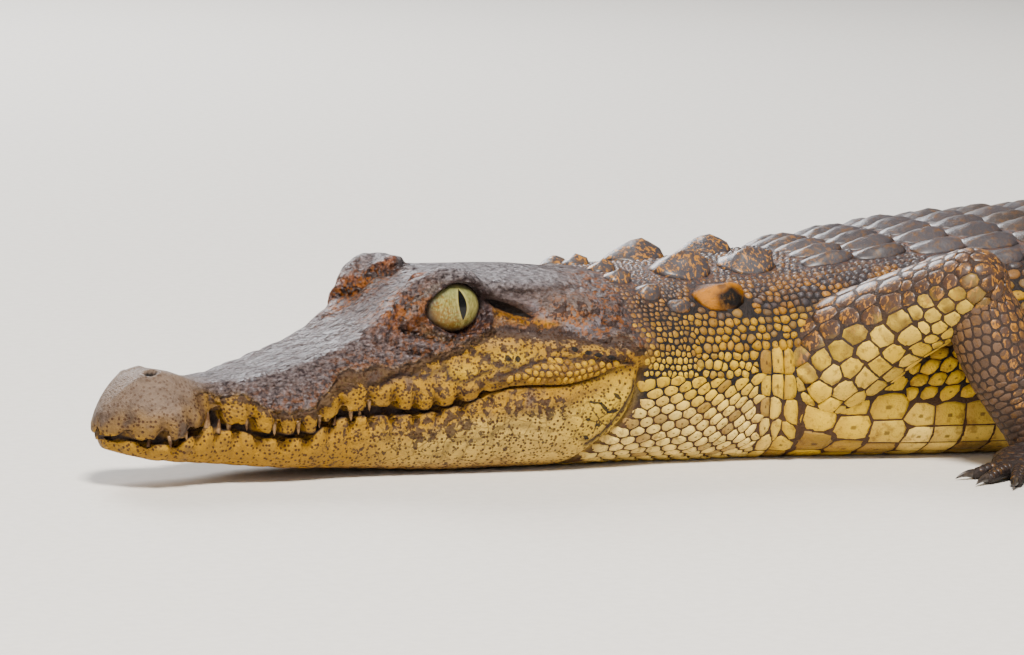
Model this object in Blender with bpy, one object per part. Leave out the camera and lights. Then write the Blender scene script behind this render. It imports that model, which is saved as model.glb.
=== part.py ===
"""A young crocodile about a metre long, lying at rest with its chin and belly on the floor.

The body is one loft from the snout to the tip of the tail, parted by thin cuts into the head, the lower
jaw, the neck, two lengths of trunk and three of tail. Each leg is an upper length, a lower length and a
foot, and the eyes and claws are pieces of their own. The animal faces -X with its left side towards -Y,
and the origin is on the floor under the middle of its belly.
"""

import math

import bmesh
import bpy
import numpy as np
from mathutils import Vector

MM = 0.001  # every table and size below is in millimetres

# Driving sizes
LENGTH = 1000.0  # snout to tail tip, along the body
HEAD_END = 135.0  # back of the skull
JAW_START = 2.0  # the lower jaw starts behind the snout's tip
NECK_END = 204.0
MIDDLE = 326.0  # the station above the origin
TRUNK_SPLIT = 340.0
TRUNK_END = 482.0
TAIL_SPLITS = (640.0, 810.0)
CUT = 0.3  # width of the thin cuts between pieces
FLAT = 0.8  # how far the underside is pressed flat by the floor

# Which way the body runs, in degrees from +X, at stations behind the snout
HEADING = [(0, 10), (136, 10), (208, 0), (476, 0), (636, 13), (796, 17), (1000, -14)]

# Head profiles: (distance behind the snout's tip, value)
TOP = [(0, 18.3), (2, 21.6), (5, 25), (9, 27.8), (13, 29), (19, 28.2), (25, 26.4), (31, 26), (37, 26.6),
       (44, 27.8), (52, 29.8), (60, 32), (67, 34.9), (74, 39), (81, 43.4), (90, 47.1), (100, 49.4), (113, 50.3),
       (125, 50), (135, 48.9)]
RIDGE_OUT = [(0, 1.3), (4, 4), (13, 6.2), (24, 6.6), (36, 9.4), (48, 11.5), (58, 12.4), (72, 13), (80, 15),
             (86, 17.8), (93, 18.8), (104, 19.4), (120, 21.8), (135, 24.5)]
RIDGE_RISE = [(0, -0.6), (26, -0.9), (40, -0.7), (56, -0.5), (70, 0.2), (78, 0.8), (81, 2.4), (84.5, 4.1),
              (88.5, 4.3), (92.5, 3.4), (97, 1.4), (101.5, -0.8), (107, -2), (116, -3.4), (135, -6)]
WALL_OUT = [(0, 2.2), (4, 7.6), (13, 11.2), (24, 9.6), (36, 12.8), (48, 15), (60, 16), (72, 16.4), (82, 16.8),
            (93, 18.2), (104, 19.6), (116, 22.5), (135, 28)]
WALL_UP = [(0, 17), (13, 23.6), (24, 22), (36, 22.3), (48, 24.6), (56, 26), (66, 29), (74, 33), (82, 37.5),
           (93, 42), (104, 42.5), (116, 40.5), (135, 37.5)]
TOOTH_OUT = [(0, 2.6), (0.7, 4.4), (1.8, 6.6), (4.4, 9.8), (8, 12.6), (13, 14.8), (19, 14.4), (25, 11.6),
             (30.5, 13.2), (38, 16.6), (46, 18.8), (56, 19), (66, 19.9), (76, 21.6), (86, 24), (96, 27), (106, 30),
             (116, 32.6), (126, 34.4), (135, 35.4)]
LIP = [(0, 13.4), (4, 13.2), (13, 12.6), (20, 14.6), (24.5, 17.2), (28, 18), (31.5, 16.8), (37, 15), (43.5, 12.7),
       (50.5, 12.6), (55, 15), (59.5, 17.8), (64, 19), (69, 19), (76, 17.6), (82, 17), (87, 17.6), (96, 20),
       (105, 22.6), (116, 22.8), (125.5, 24.4), (130, 26.2), (135, 27.6)]
JAW_OUT = [(2, 1.6), (3.2, 5), (6, 9), (10, 11.8), (15, 13.1), (20, 12.9), (25, 12.8), (30, 12.9), (38, 14.8),
           (46, 16.6), (56, 17.5), (66, 18.9), (76, 20.8), (86, 23.2), (96, 26.3), (106, 29.3), (116, 31.9),
           (126, 33.7), (135, 34.7)]
JAW_BOTTOM = [(0, 10.5), (2, 9.4), (7, 7.8), (13, 6.6), (25, 5.1), (50, 2.6), (65, 1.6), (80, 0.7), (95, 0),
              (135, 0)]

# Neck, trunk and tail profiles
BODY_OUT = [(135, 35.2), (146, 35), (161, 35.4), (186, 38), (211, 43.5), (246, 49.5), (296, 54.5), (346, 56.5),
            (396, 55), (436, 48), (466, 39), (496, 31.5), (556, 24.5), (636, 17.5), (716, 12.5), (796, 8.8),
            (876, 6), (946, 3.8), (990, 2), (1000, 1)]
BODY_TOP = [(135, 48.9), (146, 48.7), (158, 48.9), (180, 49.6), (196, 50.6), (211, 52.4), (227, 54.6), (246, 57),
            (286, 59.6), (320, 61), (346, 61.8), (396, 60), (436, 57), (466, 53.5), (496, 49.5), (556, 43.5),
            (636, 37), (716, 30.5), (796, 24), (876, 17), (946, 9.8), (990, 4.6), (1000, 2.6)]
BODY_WIDEST = [(135, 0.42), (200, 0.4), (346, 0.38), (480, 0.42), (640, 0.48), (1000, 0.5)]
BODY_CROWN = [(135, 2.5), (200, 2.3), (480, 2.3), (700, 2.0), (1000, 2.0)]  # power of the upper curve
BODY_KEEL = [(135, 4.4), (170, 5), (346, 4.4), (480, 3.4), (560, 2.8), (1000, 2.2)]  # of the lower curve
BLEND_START, BLEND_END = 130.0, 164.0  # where the head's section turns into the neck's

# Teeth that show with the mouth shut: (distance behind the snout's tip, out from the middle)
UPPER_TEETH = [(12.5, 14.8), (38, 16.5), (45, 18.3), (52, 19)]
LOWER_TEETH = [(24.5, 13.2)]

EYE_AT = (93.5, 12.8, 42.2)  # behind the snout, out from the middle, up
EYE_RADII = (9.8, 7.9, 9.2)

# Upright blades along the tail: two rows that come together, then one
CREST_START, CREST_JOIN, CREST_END = 501.0, 714.0, 985.0
CREST_PITCH_FRONT, CREST_PITCH_BACK = 16.5, 15.5
CREST_THICK = 1.4

GREY_BROWN = (0.13, 0.105, 0.085)
GOLD = (0.45, 0.33, 0.13)
IVORY = (0.62, 0.58, 0.45)
HORN = (0.06, 0.05, 0.045)
IRIS = (0.42, 0.42, 0.22)


def profile(table, at):
    """Value of a table of (place, value) at one or many places, on a smooth curve that never overshoots."""
    xs, ys = np.array(table, float).T
    step = np.diff(xs)
    slope = np.diff(ys) / step
    tangent = np.zeros(len(xs))
    tangent[0], tangent[-1] = slope[0], slope[-1]
    same_way = slope[:-1] * slope[1:] > 0
    before, after = slope[:-1][same_way], slope[1:][same_way]
    tangent[1:-1][same_way] = 2 * before * after / (before + after)
    at = np.clip(np.asarray(at, float), xs[0], xs[-1])
    i = np.clip(np.searchsorted(xs, at, side="right") - 1, 0, len(step) - 1)
    t = (at - xs[i]) / step[i]
    return (ys[i] * (1 + 2 * t) * (1 - t) ** 2 + ys[i + 1] * t * t * (3 - 2 * t)
            + step[i] * (tangent[i] * t * (1 - t) ** 2 - tangent[i + 1] * t * t * (1 - t)))


def make_spine():
    """Stations each millimetre with the place of the body's middle line and its heading in radians."""
    stations = np.arange(0, LENGTH + 1)
    heading = np.radians(profile(HEADING, stations))
    x = np.concatenate([[0], np.cumsum(np.cos((heading[1:] + heading[:-1]) / 2))])
    y = np.concatenate([[0], np.cumsum(np.sin((heading[1:] + heading[:-1]) / 2))])
    middle = int(MIDDLE)
    return stations, x - x[middle], y - y[middle], heading


SPINE = make_spine()


def in_room(station, out, up):
    """A point given by its station, its distance to the right of the middle line and its height."""
    stations, xs, ys, headings = SPINE
    heading = np.interp(station, stations, headings)
    x = np.interp(station, stations, xs) - out * np.sin(heading)
    y = np.interp(station, stations, ys) + out * np.cos(heading)
    return np.stack(np.broadcast_arrays(x, y, up), axis=-1)


def head_outline(at):
    """Thirteen (out, up) points down the right side of the head, from its crown to under its chin."""
    top, lip, bottom = profile(TOP, at), profile(LIP, at), profile(JAW_BOTTOM, at)
    ridge_out, ridge_up = profile(RIDGE_OUT, at), top + profile(RIDGE_RISE, at)
    wall_out, wall_up = profile(WALL_OUT, at), profile(WALL_UP, at)
    tooth_out = profile(TOOTH_OUT, at)
    tooth_up = lip + np.minimum(4.2, 0.35 * (wall_up - lip))
    jaw_out = profile(JAW_OUT, at)
    deep = lip - bottom
    return np.array([
        (0, top),
        (0.55 * ridge_out, top + 0.25 * (ridge_up - top)),
        (ridge_out, ridge_up),
        (wall_out, wall_up),
        (wall_out + 0.62 * (tooth_out - wall_out), wall_up + 0.55 * (tooth_up - wall_up)),
        (tooth_out, tooth_up),
        (tooth_out - 0.5, lip),
        (jaw_out, lip - CUT),
        (jaw_out + 0.2, lip - 0.4 * deep),
        (0.93 * jaw_out, lip - 0.72 * deep),
        (0.76 * jaw_out, bottom + 0.07 * deep),
        (0.42 * jaw_out, bottom),
        (0, bottom),
    ])


def body_outline(at):
    """The same thirteen points for the neck, trunk and tail, on a rounded outline that is flat below."""
    half, top = profile(BODY_OUT, at), profile(BODY_TOP, at)
    widest = top * profile(BODY_WIDEST, at)
    crown, keel = profile(BODY_CROWN, at), profile(BODY_KEEL, at)
    points = []
    for i in range(13):
        angle = math.pi * i / 12
        above = angle <= math.pi / 2
        power = crown if above else keel
        out = half * math.sin(angle) ** (2 / power)
        rise = abs(math.cos(angle)) ** (2 / power)
        points.append((out, widest + (top - widest) * rise if above else max(0, widest * (1 - rise) - FLAT * rise)))
    points[-1] = (0, 0)
    return np.array(points)


def half_outline(at):
    """The thirteen points at a station, the head's turning smoothly into the neck's."""
    if at <= BLEND_START:
        return head_outline(at)
    if at >= BLEND_END:
        return body_outline(at)
    t = (at - BLEND_START) / (BLEND_END - BLEND_START)
    t = t * t * (3 - 2 * t)
    return (1 - t) * head_outline(min(at, HEAD_END)) + t * body_outline(max(at, HEAD_END))


def smooth_run(points, steps):
    """A Catmull-Rom curve through the points with so many steps between each pair."""
    ends = np.vstack([2 * points[0] - points[1], points, 2 * points[-1] - points[-2]])
    run = []
    for i in range(1, len(ends) - 2):
        a, b, c, d = ends[i - 1:i + 3]
        for t in np.arange(steps) / steps:
            run.append(0.5 * (2 * b + (c - a) * t + (2 * a - 5 * b + 4 * c - d) * t * t
                              + (3 * b - a - 3 * c + d) * t ** 3))
    return np.vstack([run, points[-1]])


def ring_at(station, first, last, steps, every=1):
    """A closed ring round the body at a station, through outline points first to last on both sides."""
    side = smooth_run(half_outline(station)[first:last + 1:every], steps)
    side[:, 1] = np.maximum(side[:, 1], 0)
    left = side[::-1] * (-1, 1)
    starts_in_middle, ends_in_middle = side[0][0] == 0, side[-1][0] == 0
    left = left[int(ends_in_middle):len(left) - int(starts_in_middle)]
    ring = np.vstack([side, left])
    return in_room(station, ring[:, 0], ring[:, 1])


def material(name, colour, roughness):
    made = bpy.data.materials.new(name)
    made.use_nodes = True
    shader = made.node_tree.nodes["Principled BSDF"]
    shader.inputs["Base Color"].default_value = (*colour, 1)
    shader.inputs["Roughness"].default_value = roughness
    return made


def add_object(name, mesh, finish, collection):
    made = bpy.data.objects.new(name, mesh)
    collection.objects.link(made)
    mesh.materials.append(finish)
    mesh.shade_smooth()
    mesh.set_sharp_from_angle(angle=math.radians(50))
    return made


def loft(name, rings, finish, collection):
    """A closed solid over a run of rings of equal count, each end closed by a fan round its middle."""
    shape = bmesh.new()
    rows = [[shape.verts.new(Vector(p) * MM) for p in ring] for ring in rings]
    count = len(rows[0])
    for near, far in zip(rows, rows[1:]):
        for i in range(count):
            j = (i + 1) % count
            shape.faces.new((near[i], near[j], far[j], far[i]))
    for row, ring in ((rows[0], rings[0]), (rows[-1], rings[-1])):
        middle = shape.verts.new(Vector(np.mean(ring, axis=0)) * MM)
        for i in range(count):
            shape.faces.new((middle, row[i], row[(i + 1) % count]))
    bmesh.ops.remove_doubles(shape, verts=shape.verts, dist=0.00002)
    bmesh.ops.triangulate(shape, faces=shape.faces)
    bmesh.ops.recalc_face_normals(shape, faces=shape.faces)
    mesh = bpy.data.meshes.new(name)
    shape.to_mesh(mesh)
    shape.free()
    return add_object(name, mesh, finish, collection)


def stations_between(start, end, step):
    count = max(2, int(math.ceil((end - start) / step)) + 1)
    return np.linspace(start, end, count)


def boolean(target, cutter, operation, solver="EXACT"):
    """Joins or cuts at once, so that the cutter can be used again or removed."""
    modifier = target.modifiers.new(operation.lower(), "BOOLEAN")
    modifier.operation = operation
    modifier.object = cutter
    modifier.solver = solver
    graph = bpy.context.evaluated_depsgraph_get()
    mesh = bpy.data.meshes.new_from_object(target.evaluated_get(graph))
    target.modifiers.remove(modifier)
    old = target.data
    target.data = mesh
    mesh.name = old.name
    bpy.data.meshes.remove(old)


def grown_copy(source, by, collection):
    """A copy whose skin stands out by so many millimetres, to cut clearance with."""
    mesh = source.data.copy()
    shape = bmesh.new()
    shape.from_mesh(mesh)
    bmesh.ops.triangulate(shape, faces=shape.faces)
    shape.normal_update()
    moves = [(v, v.normal.copy()) for v in shape.verts]
    for vertex, normal in moves:
        vertex.co += normal * by * MM
    shape.to_mesh(mesh)
    shape.free()
    made = bpy.data.objects.new(source.name + "_grown", mesh)
    made.hide_render = True
    made.display_type = "WIRE"
    collection.objects.link(made)
    return made


def discard(*objects):
    for made in objects:
        mesh = made.data
        bpy.data.objects.remove(made)
        bpy.data.meshes.remove(mesh)


def cut_clear(target, neighbour, cutters):
    """Takes a neighbour's room, and the thin cut round it, out of a piece."""
    cutter = grown_copy(neighbour, CUT, cutters)
    boolean(target, cutter, "DIFFERENCE")
    discard(cutter)


BALL_END = ((0.45, 0.8), (0.8, 0.5))  # (size, reach) of the rings that round off a tube's end
BLUNT_END = ((0.6, 0.6),)


def tube_rings(points, radii, sides, steps, start=BALL_END, end=BALL_END):
    """Rings square to a smooth line through the points, with rings that round off each end.

    Each radius pair is (across, along the up side), and nothing goes below the floor.
    """
    line = smooth_run(np.array(points, float), steps)
    size = smooth_run(np.array(radii, float), steps)
    forward = np.gradient(line, axis=0)
    forward /= np.linalg.norm(forward, axis=1)[:, None]
    rings = []

    def ring(centre, ahead, pair, shrink):
        across = np.cross(ahead, (0, 0, 1))
        if np.linalg.norm(across) < 0.2:
            across = np.cross(ahead, (1, 0, 0))
        across = across / np.linalg.norm(across)
        over = np.cross(across, ahead)
        made = []
        for i in range(sides):
            turn = 2 * math.pi * i / sides
            p = (centre + across * pair[0] * shrink * math.cos(turn)
                 + over * pair[1] * shrink * math.sin(turn))
            made.append((p[0], p[1], max(p[2], 0)))
        return made

    for shrink, reach in start:
        rings.append(ring(line[0] - forward[0] * size[0].mean() * reach, forward[0], size[0], shrink))
    for centre, ahead, pair in zip(line, forward, size):
        rings.append(ring(centre, ahead, pair, 1))
    for shrink, reach in reversed(end):
        rings.append(ring(line[-1] + forward[-1] * size[-1].mean() * reach, forward[-1], size[-1], shrink))
    return rings


# Head and jaw --------------------------------------------------------------------------------------------

def add_teeth(jaw, places, from_up, to_up, radius, finish, collection):
    """Pointed teeth on both sides of a jaw, joined to it, each at a (station, distance out)."""
    for at, out in places:
        lip = float(profile(LIP, at))
        for side in (-1, 1):
            rings = []
            for share, size in ((0, 1), (1, 0.3)):
                up = lip + from_up + share * (to_up - from_up)
                centre = in_room(at, side * out, up)
                rings.append([centre + radius * size * np.array((math.cos(a), math.sin(a), 0))
                              for a in np.arange(5) * math.pi * 0.4])
            tooth = loft("tooth", rings, finish, collection)
            boolean(jaw, tooth, "UNION")
            discard(tooth)


def make_ball(name, centre, radii, finish, collection):
    bpy.ops.mesh.primitive_uv_sphere_add(segments=12, ring_count=8, radius=1)
    ball = bpy.context.object
    ball.name = ball.data.name = name
    for vertex in ball.data.vertices:
        vertex.co = [c * MM + v * r * MM for c, v, r in zip(centre, vertex.co, radii)]
    for old in ball.users_collection:
        old.objects.unlink(ball)
    collection.objects.link(ball)
    ball.data.materials.append(finish)
    ball.data.shade_smooth()
    return ball


def make_head(skin, bone, eye_finish, parts, cutters):
    stations = np.concatenate([[0, 0.7, JAW_START, 3.2, 6, 10], stations_between(14, 84, 6.4),
                               stations_between(88, HEAD_END - CUT / 2, 6)])
    head = loft("head", [ring_at(s, 0, 6, 2) for s in stations], skin, parts)
    jaw = loft("lower_jaw", [ring_at(s, 7, 12, 1) for s in stations[2:]], skin, parts)
    add_teeth(head, UPPER_TEETH, 1.2, -3.0, 1.2, bone, cutters)
    add_teeth(jaw, LOWER_TEETH, -3.0, 2.6, 1.1, bone, cutters)
    turn = math.radians(HEADING[0][1])
    for side, word in ((-1, "left"), (1, "right")):
        centre = in_room(EYE_AT[0], side * EYE_AT[1], EYE_AT[2])
        eye = make_ball(f"{word}_eye", (0, 0, 0), EYE_RADII, eye_finish, parts)
        room = make_ball(f"{word}_eye_room", (0, 0, 0), [r + CUT for r in EYE_RADII], eye_finish, cutters)
        room.hide_render = True
        for ball in (eye, room):
            ball.rotation_euler = (0, 0, turn)
            ball.location = Vector(centre) * MM
        bpy.context.view_layer.update()
        boolean(head, room, "DIFFERENCE")
        discard(room)
    return head, jaw


# Tail crest ----------------------------------------------------------------------------------------------

def plate(name, outlines, collection):
    """A closed plate between two copies of one outline, which need not be convex."""
    shape = bmesh.new()
    sides = [[shape.verts.new(Vector(p) * MM) for p in outline] for outline in outlines]
    for row in sides:
        shape.faces.new(row)
    for i in range(len(sides[0])):
        j = (i + 1) % len(sides[0])
        shape.faces.new((sides[0][i], sides[0][j], sides[1][j], sides[1][i]))
    bmesh.ops.triangulate(shape, faces=shape.faces)
    bmesh.ops.recalc_face_normals(shape, faces=shape.faces)
    mesh = bpy.data.meshes.new(name)
    shape.to_mesh(mesh)
    shape.free()
    made = bpy.data.objects.new(name, mesh)
    collection.objects.link(made)
    return made


def blade(at, pitch, out, base, tall, collection):
    """One upright blade of the crest: a thin leaning triangle with a blunt tip."""
    outline = [(at - 0.5 * pitch, base - 2.5), (at - 0.42 * pitch, base + 0.15 * tall),
               (at + 0.42 * pitch, base + tall), (at + 0.48 * pitch, base - 2.5)]
    return plate("blade", [[in_room(s, out + shift, up) for s, up in outline]
                           for shift in (-CREST_THICK / 2, CREST_THICK / 2)], collection)


def crest_places():
    """(station, pitch, distance out, height) of every blade on the left, and of the single row behind."""
    places = []
    at = CREST_START
    while at < CREST_JOIN:
        share = (at - CREST_START) / (CREST_JOIN - CREST_START)
        places.append((at, CREST_PITCH_FRONT, 15.5 - 12.3 * share, 3.2 + 5.6 * share))
        at += CREST_PITCH_FRONT
    while at < CREST_END:
        share = (at - CREST_JOIN) / (CREST_END - CREST_JOIN)
        places.append((at, CREST_PITCH_BACK, 0, 9.2 - 5.6 * share))
        at += CREST_PITCH_BACK
    return places


def surface_height(at, out):
    """Height of the back at a distance out from the middle line."""
    side = smooth_run(half_outline(at)[:7], 4)
    return float(np.interp(out, side[:, 0], side[:, 1]))


def add_crest(tails, cutters):
    for at, pitch, out, tall in crest_places():
        spans = [t for t in tails if t[1] <= at - 0.5 * pitch and at + 0.5 * pitch <= t[2]]
        if not spans:
            continue
        for side in ((-1, 1) if out else (0,)):
            base = surface_height(at, out) - 0.4
            made = blade(at, pitch * 0.96, side * out, base, tall, cutters)
            boolean(spans[0][0], made, "UNION")
            discard(made)


# Legs ----------------------------------------------------------------------------------------------------

def leg_point(side, place):
    station, out, up = place
    return in_room(station, side * out, up)


def make_claw(name, base, ahead, radius, long, finish, collection):
    """A claw as a short curved cone that starts just past the toe's end."""
    down = np.array((0, 0, -1.0))
    points = [base + ahead * (CUT + 0.1), base + ahead * (0.45 * long) - down * 0.05 * long,
              base + ahead * (0.92 * long) + down * 0.16 * long]
    rings = []
    line = smooth_run(np.array(points), 1)
    across = np.cross(ahead, (0, 0, 1))
    across /= np.linalg.norm(across)
    for i, centre in enumerate(line):
        size = radius * (1 - 0.88 * i / (len(line) - 1))
        ring = []
        for k in range(5):
            turn = 2 * math.pi * k / 5
            p = centre + across * size * 0.8 * math.cos(turn) + np.array((0, 0, size * math.sin(turn)))
            ring.append((p[0], p[1], max(p[2], 0)))
        rings.append(ring)
    return loft(name, rings, finish, collection)


def make_foot(word, end, side, ankle, pointing, digits, sole, finish, horn, parts, cutters):
    """A flat palm, fanned toes joined to it, webs on a hind foot, and claws on the inner three toes.

    digits are (turn from the foot's line in degrees, length, radius, has a claw), innermost first. sole is
    the palm's length, half width and half height.
    """
    long, half, thick = sole
    heading = math.radians(pointing)
    ahead = np.array((-math.cos(heading), side * math.sin(heading), 0))
    heel = leg_point(side, (ankle[0], ankle[1], thick + 0.6))
    knuckles = heel + ahead * long
    points = [heel, heel + ahead * 0.5 * long, knuckles]
    points[2][2] = thick * 0.8
    palm = tube_rings(points, [(0.72 * half, thick), (half, thick), (0.98 * half, 0.75 * thick)], 8, 1)
    foot = loft(f"{word}_{end}_foot", palm, finish, parts)
    toes, tips = [], []
    for number, (turn, reach, radius, has_claw) in enumerate(digits, 1):
        angle = heading - math.radians(turn)
        way = np.array((-math.cos(angle), side * math.sin(angle), 0))
        root = knuckles - ahead * 0.35 * long + way * 0.2 * long
        root[2] = radius
        tip = root + way * (reach + 0.2 * long)
        tip[2] = radius * 0.7
        middle = (root + tip) / 2
        middle[2] = radius * 1.25
        size = [(radius * 1.1, radius * 1.05), (radius, radius), (radius * 0.8, radius * 0.75)]
        toes.append(loft("toe", tube_rings([root, middle, tip], size, 6, 1, (), BLUNT_END), finish, cutters))
        tips.append(tip)
        if has_claw:
            make_claw(f"{word}_{end}_claw_{number}", tip + way * (radius * 0.62 + 0.15), way, radius * 0.62,
                      radius * 2.6, horn, parts)
    if end == "hind":
        add_webs(foot, knuckles - ahead * 0.3 * long, tips, cutters)
    for toe in toes:
        boolean(foot, toe, "UNION", "MANIFOLD")
        discard(toe)
    return foot


def add_webs(foot, centre, tips, cutters):
    """Thin skin between neighbouring toes, reaching two thirds of the way to their tips."""
    edge = [centre, centre + (tips[0] - centre) * 0.7]
    for first, second in zip(tips, tips[1:]):
        edge += [centre + ((first + second) / 2 - centre) * 0.6, centre + (second - centre) * 0.7]
    web = plate("web", [[(p[0], p[1], up) for p in edge] for up in (0.5, 1.6)], cutters)
    boolean(foot, web, "UNION", "MANIFOLD")
    discard(web)


def make_leg(word, end, side, joints, sizes, foot, finish, horn, parts, cutters):
    """Upper length, lower length and foot, each cut clear of the piece that it grows from."""
    root, bend, ankle = (leg_point(side, place) for place in joints)
    upper_sizes, lower_sizes = sizes
    bow = (root + bend) / 2 + np.array((0, 0, 1.5))
    upper = loft(f"{word}_{end}_upper_leg", tube_rings([root, bow, bend], upper_sizes, 9, 2), finish, parts)
    swell = bend + (ankle - bend) * 0.45
    lower = loft(f"{word}_{end}_lower_leg", tube_rings([bend, swell, ankle], lower_sizes, 9, 2, ()), finish, parts)
    sole = make_foot(word, end, side, joints[2], foot["pointing"], foot["digits"], foot["sole"], finish, horn,
                     parts, cutters)
    cut_clear(lower, upper, cutters)
    cut_clear(sole, lower, cutters)
    return upper, lower


FRONT_FOOT = {
    "digits": [(48, 9, 2.0, True), (22, 12, 2.1, True), (-2, 13, 2.1, True), (-28, 11, 1.9, False),
               (-58, 9, 1.7, False)],
    "sole": (15.0, 8.5, 3.6),
}
HIND_FOOT = {
    "digits": [(27, 17, 2.5, True), (9, 22, 2.6, True), (-10, 23, 2.5, True), (-29, 20, 2.1, False)],
    "sole": (30.0, 9.5, 4.2),
}
FRONT_SIZES = ([(16, 17), (12.2, 12.6), (10.4, 10.6)], [(8.6, 9), (10.4, 10.8), (6.8, 7)])
HIND_SIZES = ([(17, 18), (15.5, 16), (11.5, 12)], [(9.6, 10), (10.8, 10.8), (7.2, 7.2)])
LEGS = [
    ("left", "front", -1, [(204, 29, 24), (231, 58, 47), (245, 67, 10)], FRONT_SIZES, FRONT_FOOT, 52),
    ("right", "front", 1, [(204, 29, 23), (238, 63, 34.5), (222, 87, 10)], FRONT_SIZES, FRONT_FOOT, 38),
    ("left", "hind", -1, [(459, 27, 30), (426, 73, 33), (468, 92, 11)], HIND_SIZES, HIND_FOOT, 48),
    ("right", "hind", 1, [(459, 27, 30), (432, 76, 30), (478, 90, 11)], HIND_SIZES, HIND_FOOT, 38),
]


def main():
    for old in list(bpy.data.objects):
        bpy.data.objects.remove(old)
    parts = bpy.data.collections.new("crocodile")
    cutters = bpy.data.collections.new("cutters")
    bpy.context.scene.collection.children.link(parts)
    bpy.context.scene.collection.children.link(cutters)
    back = material("back_skin", GREY_BROWN, 0.5)
    flank = material("flank_skin", GOLD, 0.55)
    bone = material("tooth", IVORY, 0.35)
    horn = material("claw", HORN, 0.4)
    iris = material("eye", IRIS, 0.1)

    make_head(back, bone, iris, parts, cutters)
    runs = [("neck", HEAD_END, NECK_END, 10), ("front_trunk", NECK_END, TRUNK_SPLIT, 18),
            ("rear_trunk", TRUNK_SPLIT, TRUNK_END, 18)]
    made = {}
    for name, start, end, step in runs:
        stations = stations_between(start + CUT / 2, end - CUT / 2, step)
        made[name] = loft(name, [ring_at(s, 0, 12, 1) for s in stations], flank, parts)
    tails = []
    ends = (TRUNK_END, *TAIL_SPLITS, LENGTH)
    for name, start, end in zip(("tail_root", "tail_middle", "tail_end"), ends, ends[1:]):
        stations = stations_between(start + CUT / 2, end - CUT / 2, 20)
        tail = loft(name, [ring_at(s, 0, 12, 1, 2) for s in stations], back, parts)
        tails.append((tail, start, end))
    add_crest(tails, cutters)

    for word, end, side, joints, sizes, foot, pointing in LEGS:
        upper, lower = make_leg(word, end, side, joints, sizes, {**foot, "pointing": pointing}, back, horn,
                                parts, cutters)
        for name in (("neck", "front_trunk") if end == "front" else ("rear_trunk", "tail_root")):
            body = made.get(name) or tails[0][0]
            cut_clear(upper, body, cutters)
            cut_clear(lower, body, cutters)


main()
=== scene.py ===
import math

import bmesh
import bpy
import numpy as np
from mathutils import Matrix, Vector


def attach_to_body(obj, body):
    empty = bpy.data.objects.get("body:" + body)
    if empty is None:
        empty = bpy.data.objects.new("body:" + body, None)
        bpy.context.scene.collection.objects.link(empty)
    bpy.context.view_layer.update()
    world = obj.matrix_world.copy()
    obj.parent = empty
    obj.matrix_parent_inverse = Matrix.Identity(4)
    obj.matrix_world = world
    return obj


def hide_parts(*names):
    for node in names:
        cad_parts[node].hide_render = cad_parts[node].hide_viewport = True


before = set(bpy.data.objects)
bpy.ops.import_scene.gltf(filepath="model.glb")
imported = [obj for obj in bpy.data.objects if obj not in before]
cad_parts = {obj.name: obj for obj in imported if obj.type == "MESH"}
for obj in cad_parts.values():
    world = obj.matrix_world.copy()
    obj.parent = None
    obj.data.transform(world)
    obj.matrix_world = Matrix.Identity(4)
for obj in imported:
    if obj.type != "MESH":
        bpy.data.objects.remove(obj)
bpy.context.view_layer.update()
MM = 0.001  # sizes below are in millimetres, places along the body are stations behind the snout's tip


# The hide -------------------------------------------------------------------------------------------------
# One unbroken skin from the snout to the tail's tip and down to the toes. It lies inside the solids by the
# depth of the scales, and carries the folds, the eyelids, the ears, the nostrils and the scalloped lips.

LENGTH, MIDDLE = 1000.0, 326.0
HEADING = [(0, 10), (136, 10), (208, 0), (476, 0), (636, 13), (796, 17), (1000, -14)]
TOP = [(0, 18.3), (2, 21.6), (5, 25), (9, 27.8), (13, 29), (19, 28.2), (25, 26.4), (31, 26), (37, 26.6),
       (44, 27.8), (52, 29.8), (60, 32), (67, 34.9), (74, 39), (81, 43.4), (90, 47.1), (100, 49.4), (113, 50.3),
       (125, 50), (135, 48.9)]
RIDGE_OUT = [(0, 1.3), (4, 4), (13, 6.2), (24, 6.6), (36, 9.4), (48, 11.5), (58, 12.4), (72, 13), (80, 15),
             (86, 17.8), (93, 18.8), (104, 19.4), (120, 21.8), (135, 24.5)]
RIDGE_RISE = [(0, -0.6), (26, -0.9), (40, -0.7), (56, -0.5), (70, 0.2), (78, 0.8), (81, 2.4), (84.5, 4.1),
              (88.5, 4.3), (92.5, 3.4), (97, 1.4), (101.5, -0.8), (107, -2), (116, -3.4), (135, -6)]
WALL_OUT = [(0, 2.2), (4, 7.6), (13, 11.2), (24, 9.6), (36, 12.8), (48, 15), (60, 16), (72, 16.4), (82, 16.8),
            (93, 18.2), (104, 19.6), (116, 22.5), (135, 28)]
WALL_UP = [(0, 17), (13, 23.6), (24, 22), (36, 22.3), (48, 24.6), (56, 26), (66, 29), (74, 33), (82, 37.5),
           (93, 42), (104, 42.5), (116, 40.5), (135, 37.5)]
TOOTH_OUT = [(0, 2.6), (0.7, 4.4), (1.8, 6.6), (4.4, 9.8), (8, 12.6), (13, 14.8), (19, 14.4), (25, 11.6),
             (30.5, 13.2), (38, 16.6), (46, 18.8), (56, 19), (66, 19.9), (76, 21.6), (86, 24), (96, 27),
             (106, 30), (116, 32.6), (126, 34.4), (135, 35.4)]
LIP = [(0, 13.4), (4, 13.2), (13, 12.6), (20, 14.6), (24.5, 17.2), (28, 18), (31.5, 16.8), (37, 15),
       (43.5, 12.7), (50.5, 12.6), (55, 15), (59.5, 17.8), (64, 19), (69, 19), (76, 17.6), (82, 17),
       (87, 17.6), (96, 20), (105, 22.6), (116, 22.8), (125.5, 24.4), (130, 26.2), (135, 27.6)]
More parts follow.
